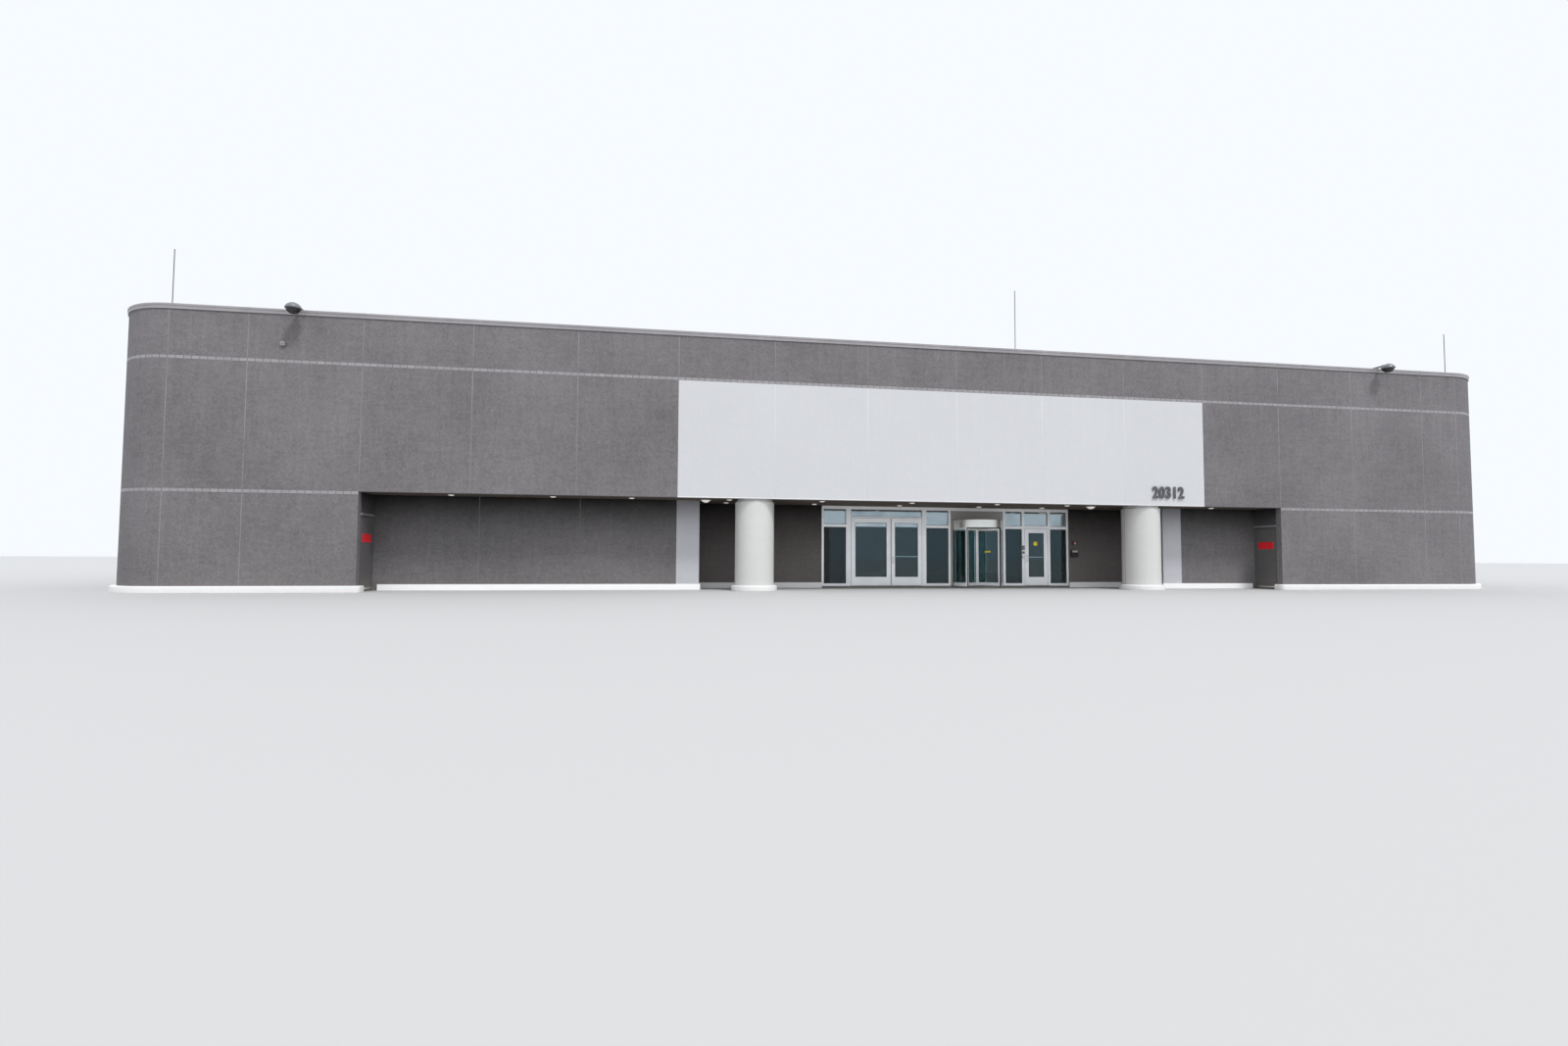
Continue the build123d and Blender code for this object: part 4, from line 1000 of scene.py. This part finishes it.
lens_radius, lens_drop, ring_radius, ring_thickness = 0.043, 0.012, 0.079, 0.008
first_lens = lens_cap(0, 0, 0, lens_radius, lens_drop)
lenses = [turned(copy_of(first_lens), 0, ((low.x + high.x) / 2, (low.y + high.y) / 2, low.z))
          for low, high in solid_boxes("downlights")]
bpy.data.objects.remove(first_lens)
dress(join("downlight_lenses", lenses), opal, smooth=True)
lens_rings = [half_round_ring((low.x + high.x) / 2, (low.y + high.y) / 2, high.z,
                              ring_radius, ring_thickness)
              for low, high in solid_boxes("dome_lights")]
dress(join("dome_light_rings", lens_rings), trim_white, smooth=True)

# %% [markdown]
# The two fire doors are plain steel, dressed with what such doors carry: a red
# plate at eye height, left bare here, a kick plate, a sweep at the foot, and a
# drip rail over the head that is fixed to the wall. The doors face each other
# across the recess, so one function makes the fittings with a side of 1 or -1.

# %% Fire-door fittings
leaf_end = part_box("fire_door_left")[1].y
leaf_start = leaf_end - 0.455
leaf_middle = (leaf_start + leaf_end) / 2
sign_middle, sign_level = leaf_middle - 0.01, 0.79
sign_width, sign_height, sign_thickness, screw_inset = 0.35, 0.125, 0.002, 0.012
kick_low, kick_high, kick_thickness = 0.056, 0.176, 0.0012
sweep_low, sweep_high, sweep_thickness = 0.038, 0.052, 0.004
drip_low, drip_high, drip_reach = 1.128, 1.14, 0.016
doors = (("fire_door_left", recess_left, 1), ("fire_door_right", recess_right, -1))


def side_plate(name, face, side, start, end, bottom, top, thickness):
    """Adds a plate on a face that looks along X to the given side."""
    return block(name, (face, start, bottom), (face + side * thickness, end, top), 0.0006)


def side_screw(face, side, y, level, radius):
    return disc("screw", (face + side * 0.0008, y, level), radius, 0.0016, 0.0005, 12, 1,
                (0, math.pi / 2, 0))


for name, face, side in doors:
    body = name + "_leaf"
    sign = side_plate(name + "_sign_plate", face, side, sign_middle - sign_width / 2,
                      sign_middle + sign_width / 2, sign_level - sign_height / 2,
                      sign_level + sign_height / 2, sign_thickness)
    dress(sign, red_paint, body)
    kick = side_plate(name + "_kick_plate", face, side, leaf_start + 0.03, leaf_end - 0.03,
                      kick_low, kick_high, kick_thickness)
    dress(kick, worn_steel, body)
    steel = [side_plate("sweep", face, side, leaf_start + 0.004, leaf_end - 0.004,
                        sweep_low, sweep_high, sweep_thickness)]
    for end, height_end in ((-1, -1), (-1, 1), (1, -1), (1, 1)):
        steel += [side_screw(face + side * sign_thickness, side,
                             sign_middle + end * (sign_width / 2 - screw_inset),
                             sign_level + height_end * (sign_height / 2 - screw_inset), 0.005),
                  side_screw(face + side * kick_thickness, side, leaf_middle + end * 0.18,
                             (kick_low + kick_high) / 2 + height_end * 0.048, 0.004)]
    dress(join(name + "_steel_fittings", steel), stainless, body)
drips = [side_plate("drip", face, side, leaf_start - 0.03, leaf_end + 0.02, *profile)
         for profile in ((drip_low, drip_high, drip_reach), (drip_high, 1.156, 0.003))
         for _, face, side in doors]
dress(join("fire_door_drip_rails", drips), coping_paint)

# %% [markdown]
# The street number is cut from dark metal and stands on short pins, so it casts
# a soft shadow. It is set as text, in plain figures that aren't those of the
# real address, turned into a mesh, and sized to the height measured.

# %% Street number
number_left, number_right, number_low, number_high = 4.443, 5.048, 1.584, 1.793
number_gap, depth_scale = 0.012, 0.3
pick()
bpy.ops.object.text_add()
number = bpy.context.object
number.name = "street_number"
for setting, value in {"body": "20312", "extrude": 0.02, "bevel_depth": 0.006,
                       "bevel_resolution": 1, "offset": 0.03, "space_character": 1.08}.items():
    setattr(number.data, setting, value)
bpy.ops.object.convert(target="MESH")
with edit_mode():
    bpy.ops.mesh.remove_doubles(threshold=0.00005)
number.rotation_euler = facing_front
apply_place(number)
number.scale = ((number_right - number_left) / number.dimensions.x, depth_scale,
                (number_high - number_low) / number.dimensions.z)
apply_place(number)
sides = list(zip(*(vertex.co for vertex in number.data.vertices)))
number.location = (number_left - min(sides[0]), -half_depth - number_gap - max(sides[1]),
                   number_low - min(sides[2]))
apply_place(number)
digit_pitch = (number_right - number_left) / 5
pins = [disc("pin", (number_left + (place + 0.5) * digit_pitch,
                     -half_depth - number_gap / 2, level), 0.004, 0.0125, 0.0004, 8, 1)
        for place in range(5) for level in (number_low + 0.012, number_high - 0.012)]
dress(join("street_number", [number, *pins]), dark_metal, smooth=True)

# %% [markdown]
# The floodlights are grey domes over a dark glass bowl. The bowl gets its glass
# and a rim that holds it, the arm gets a collar where it leaves the dome, and
# the clamps that hold the posts behind the parapet get their bolts.

# %% Floodlight fittings
lamp_side_distance, lamp_reach, lamp_radius = 2.590, 0.190, 0.106
bowl_radius, bowl_top, bowl_drop = 0.0935, 4.030, 0.0755
arm_level, post_y, clamp_levels = 4.096, -6.865, (3.715, 3.895)
lamp_rings = ((0.0975, 0.005, bowl_top), (0.052, 0.003, bowl_top - 0.064),
              (lamp_radius - 0.003, 0.003, bowl_top + 0.006))
lamp_metal, lamp_bowls = [], []
for side in (-1, 1):
    x, y = side * (half_width - lamp_side_distance), -half_depth - lamp_reach
    lamp_bowls.append(lens_cap(x, y, bowl_top, bowl_radius, bowl_drop))
    lamp_metal += [half_round_ring(x, y, level, radius, thickness)
                   for radius, thickness, level in lamp_rings]
    lamp_metal.append(disc("collar", (x, y + lamp_radius - 0.01, arm_level), 0.022, 0.03,
                           0.004))
    lamp_metal += [disc("bolt", (x + bolt_x, post_y + 0.002, level), 0.007, 0.008, 0.001, 6, 1)
                   for level in clamp_levels for bolt_x in (-0.022, 0.022)]
dress(join("floodlight_metal", lamp_metal), lamp_paint, smooth=True)
dress(join("floodlight_bowls", lamp_bowls), lamp_lens, smooth=True)

# %% [markdown]
# The little boxes on the wall and beside the single door get their faces: a red
# beacon on the alarm, a pale flap on the key box, keys on the keypad, a button
# in the bell, and a cover over the sensor high on the left wall.

# %% Faces of the small boxes
box_x, entrance_face = 3.7395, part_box("entrance_walls")[0].y
alarm_front, key_front = entrance_face - 0.022, entrance_face - 0.045
keypad_x, keypad_front = 2.7325, frame_front - 0.012
key_pitch, key_half, first_key = 0.011, 0.004, 0.709
dress(disc("alarm_beacon", (box_x - 0.016, alarm_front - 0.004, 0.828), 0.015, 0.008, 0.002),
      red_paint, smooth=True)
pale_parts = [block("face", (box_x + 0.004, alarm_front - 0.002, 0.806),
                    (box_x + 0.03, alarm_front, 0.85), 0.001),
              block("flap", (box_x - 0.052, key_front - 0.003, 0.655),
                    (box_x + 0.052, key_front, 0.688), 0.001),
              block("screen", (keypad_x - 0.014, keypad_front - 0.001, 0.755),
                    (keypad_x + 0.014, keypad_front, 0.768), 0.0004),
              disc("button", (keypad_x, frame_front - 0.011, 0.645), 0.009, 0.004, 0.001)]
for column in (-1, 0, 1):
    for line in range(4):
        key_x, key_z = keypad_x + column * key_pitch, first_key + line * key_pitch
        pale_parts.append(block(
            "key", (key_x - key_half, keypad_front - 0.0015, key_z - key_half),
            (key_x + key_half, keypad_front, key_z + key_half), 0.0005))
dress(join("wall_box_faces", pale_parts), pale_plastic)
dress(disc("key_switch_cap", (keypad_x, frame_front - 0.0115, 0.560), 0.021, 0.004, 0.001),
      stainless, smooth=True)

sensor_x, sensor_level, cover_half = -9.3205, 3.566, 0.031
sensor_front, sensor_back = -half_depth - 0.034, -half_depth - 0.0006
dress(block("sensor_cover", (sensor_x - cover_half, sensor_front, sensor_level - cover_half),
            (sensor_x + cover_half, sensor_back, sensor_level + cover_half), 0.005, 2),
      grey_plastic)
dress(disc("sensor_eye", (sensor_x, sensor_front, sensor_level - 0.008), 0.007, 0.006, 0.002),
      black_plastic, smooth=True)

# %% [markdown]
# Metal coping comes in lengths, and a cover plate of the same section hides each
# joint. The plate is a slice cut from the coping itself and thickened, so it
# follows every bend. The row of slices is then turned to the other walls.

# %% Cover plates of the coping
slice_half, cover_thickness = 0.022, 0.003


def cover_row(x, count):
    """Cuts a slice out of a copy of the front coping, thickens it, and repeats it."""
    piece = copy_of(nodes["coping_straights"])
    piece.parent = None
    piece.rotation_mode = "XYZ"
    piece.matrix_world = nodes["coping_straights"].matrix_world
    piece.name = "cover"
    apply_place(piece)
    with edit_mode():
        for place, normal in (((x - slice_half, 0, 0), (-1, 0, 0)),
                              ((x + slice_half, 0, 0), (1, 0, 0)),
                              ((0, -half_depth + 0.5, 0), (0, 1, 0))):
            bpy.ops.mesh.select_all(action="SELECT")
            bpy.ops.mesh.bisect(plane_co=place, plane_no=normal, clear_outer=True)
        bpy.ops.mesh.select_all(action="SELECT")
        bpy.ops.mesh.remove_doubles(threshold=0.0001)
        bpy.ops.mesh.normals_make_consistent(inside=False)
    plate = piece.modifiers.new("plate", "SOLIDIFY")
    plate.thickness = cover_thickness
    plate.offset = 0
    bpy.ops.object.modifier_apply(modifier="plate")
    return row(piece, count, panel)


front_covers = cover_row(first_joint, 14)
covers = [front_covers, turned(copy_of(front_covers), math.pi)]
covers += [to_side(cover_row(0, 9), turn, (-4 * panel, half_depth, 0)) for turn in side_turns]
dress(join("coping_covers", covers), coping_paint)

# %% [markdown]
# Behind the parapet the roof is a membrane in sheets, and their laps show as
# low straps. The ceiling of the recess has fine joints between its boards, and
# each column cover is closed by two upright seams.

# %% Laps of the roof, joints of the soffit, seams of the columns
roof_low, roof_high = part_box("roof_deck")
first_lap, lap_width, lap_thickness, lap_count = 1.2, 0.04, 0.002, 15
lap = block("roof_membrane_laps", (roof_low.x + first_lap, roof_low.y + 0.02, roof_high.z),
            (roof_low.x + first_lap + lap_width, roof_high.y - 0.02,
             roof_high.z + lap_thickness), 0.0008)
lap_step = (roof_high.x - roof_low.x - 2 * first_lap - lap_width) / (lap_count - 1)
dress(row(lap, lap_count, lap_step), roof_felt)

joint_left, joint_width, joint_depth = recess_left + panel / 2, 0.005, 0.0006
board_joint = block("soffit_board_joints",
                    (joint_left, -half_depth + 0.12, soffit_level - joint_depth),
                    (joint_left + joint_width, recess_y - 0.01, soffit_level))
dress(row(board_joint, 10, panel), rubber)

column_low, column_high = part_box("columns")
column_radius, seam_front, seam_back = 0.315, -6.6735, -6.6665
seam_low, seam_high = 0.086, soffit_level - 0.043
seams = [block("seam", (x + side * (column_radius - 0.002), seam_front, seam_low),
               (x + side * (column_radius + 0.0006), seam_back, seam_high), 0.0004)
         for x in (column_low.x + column_radius, column_high.x - column_radius)
         for side in (-1, 1)]
dress(join("column_seams", seams), dark_sealant)

# %% [markdown]
# At the end the view layer is brought up to date.

# %% Last update
bpy.context.view_layer.update()
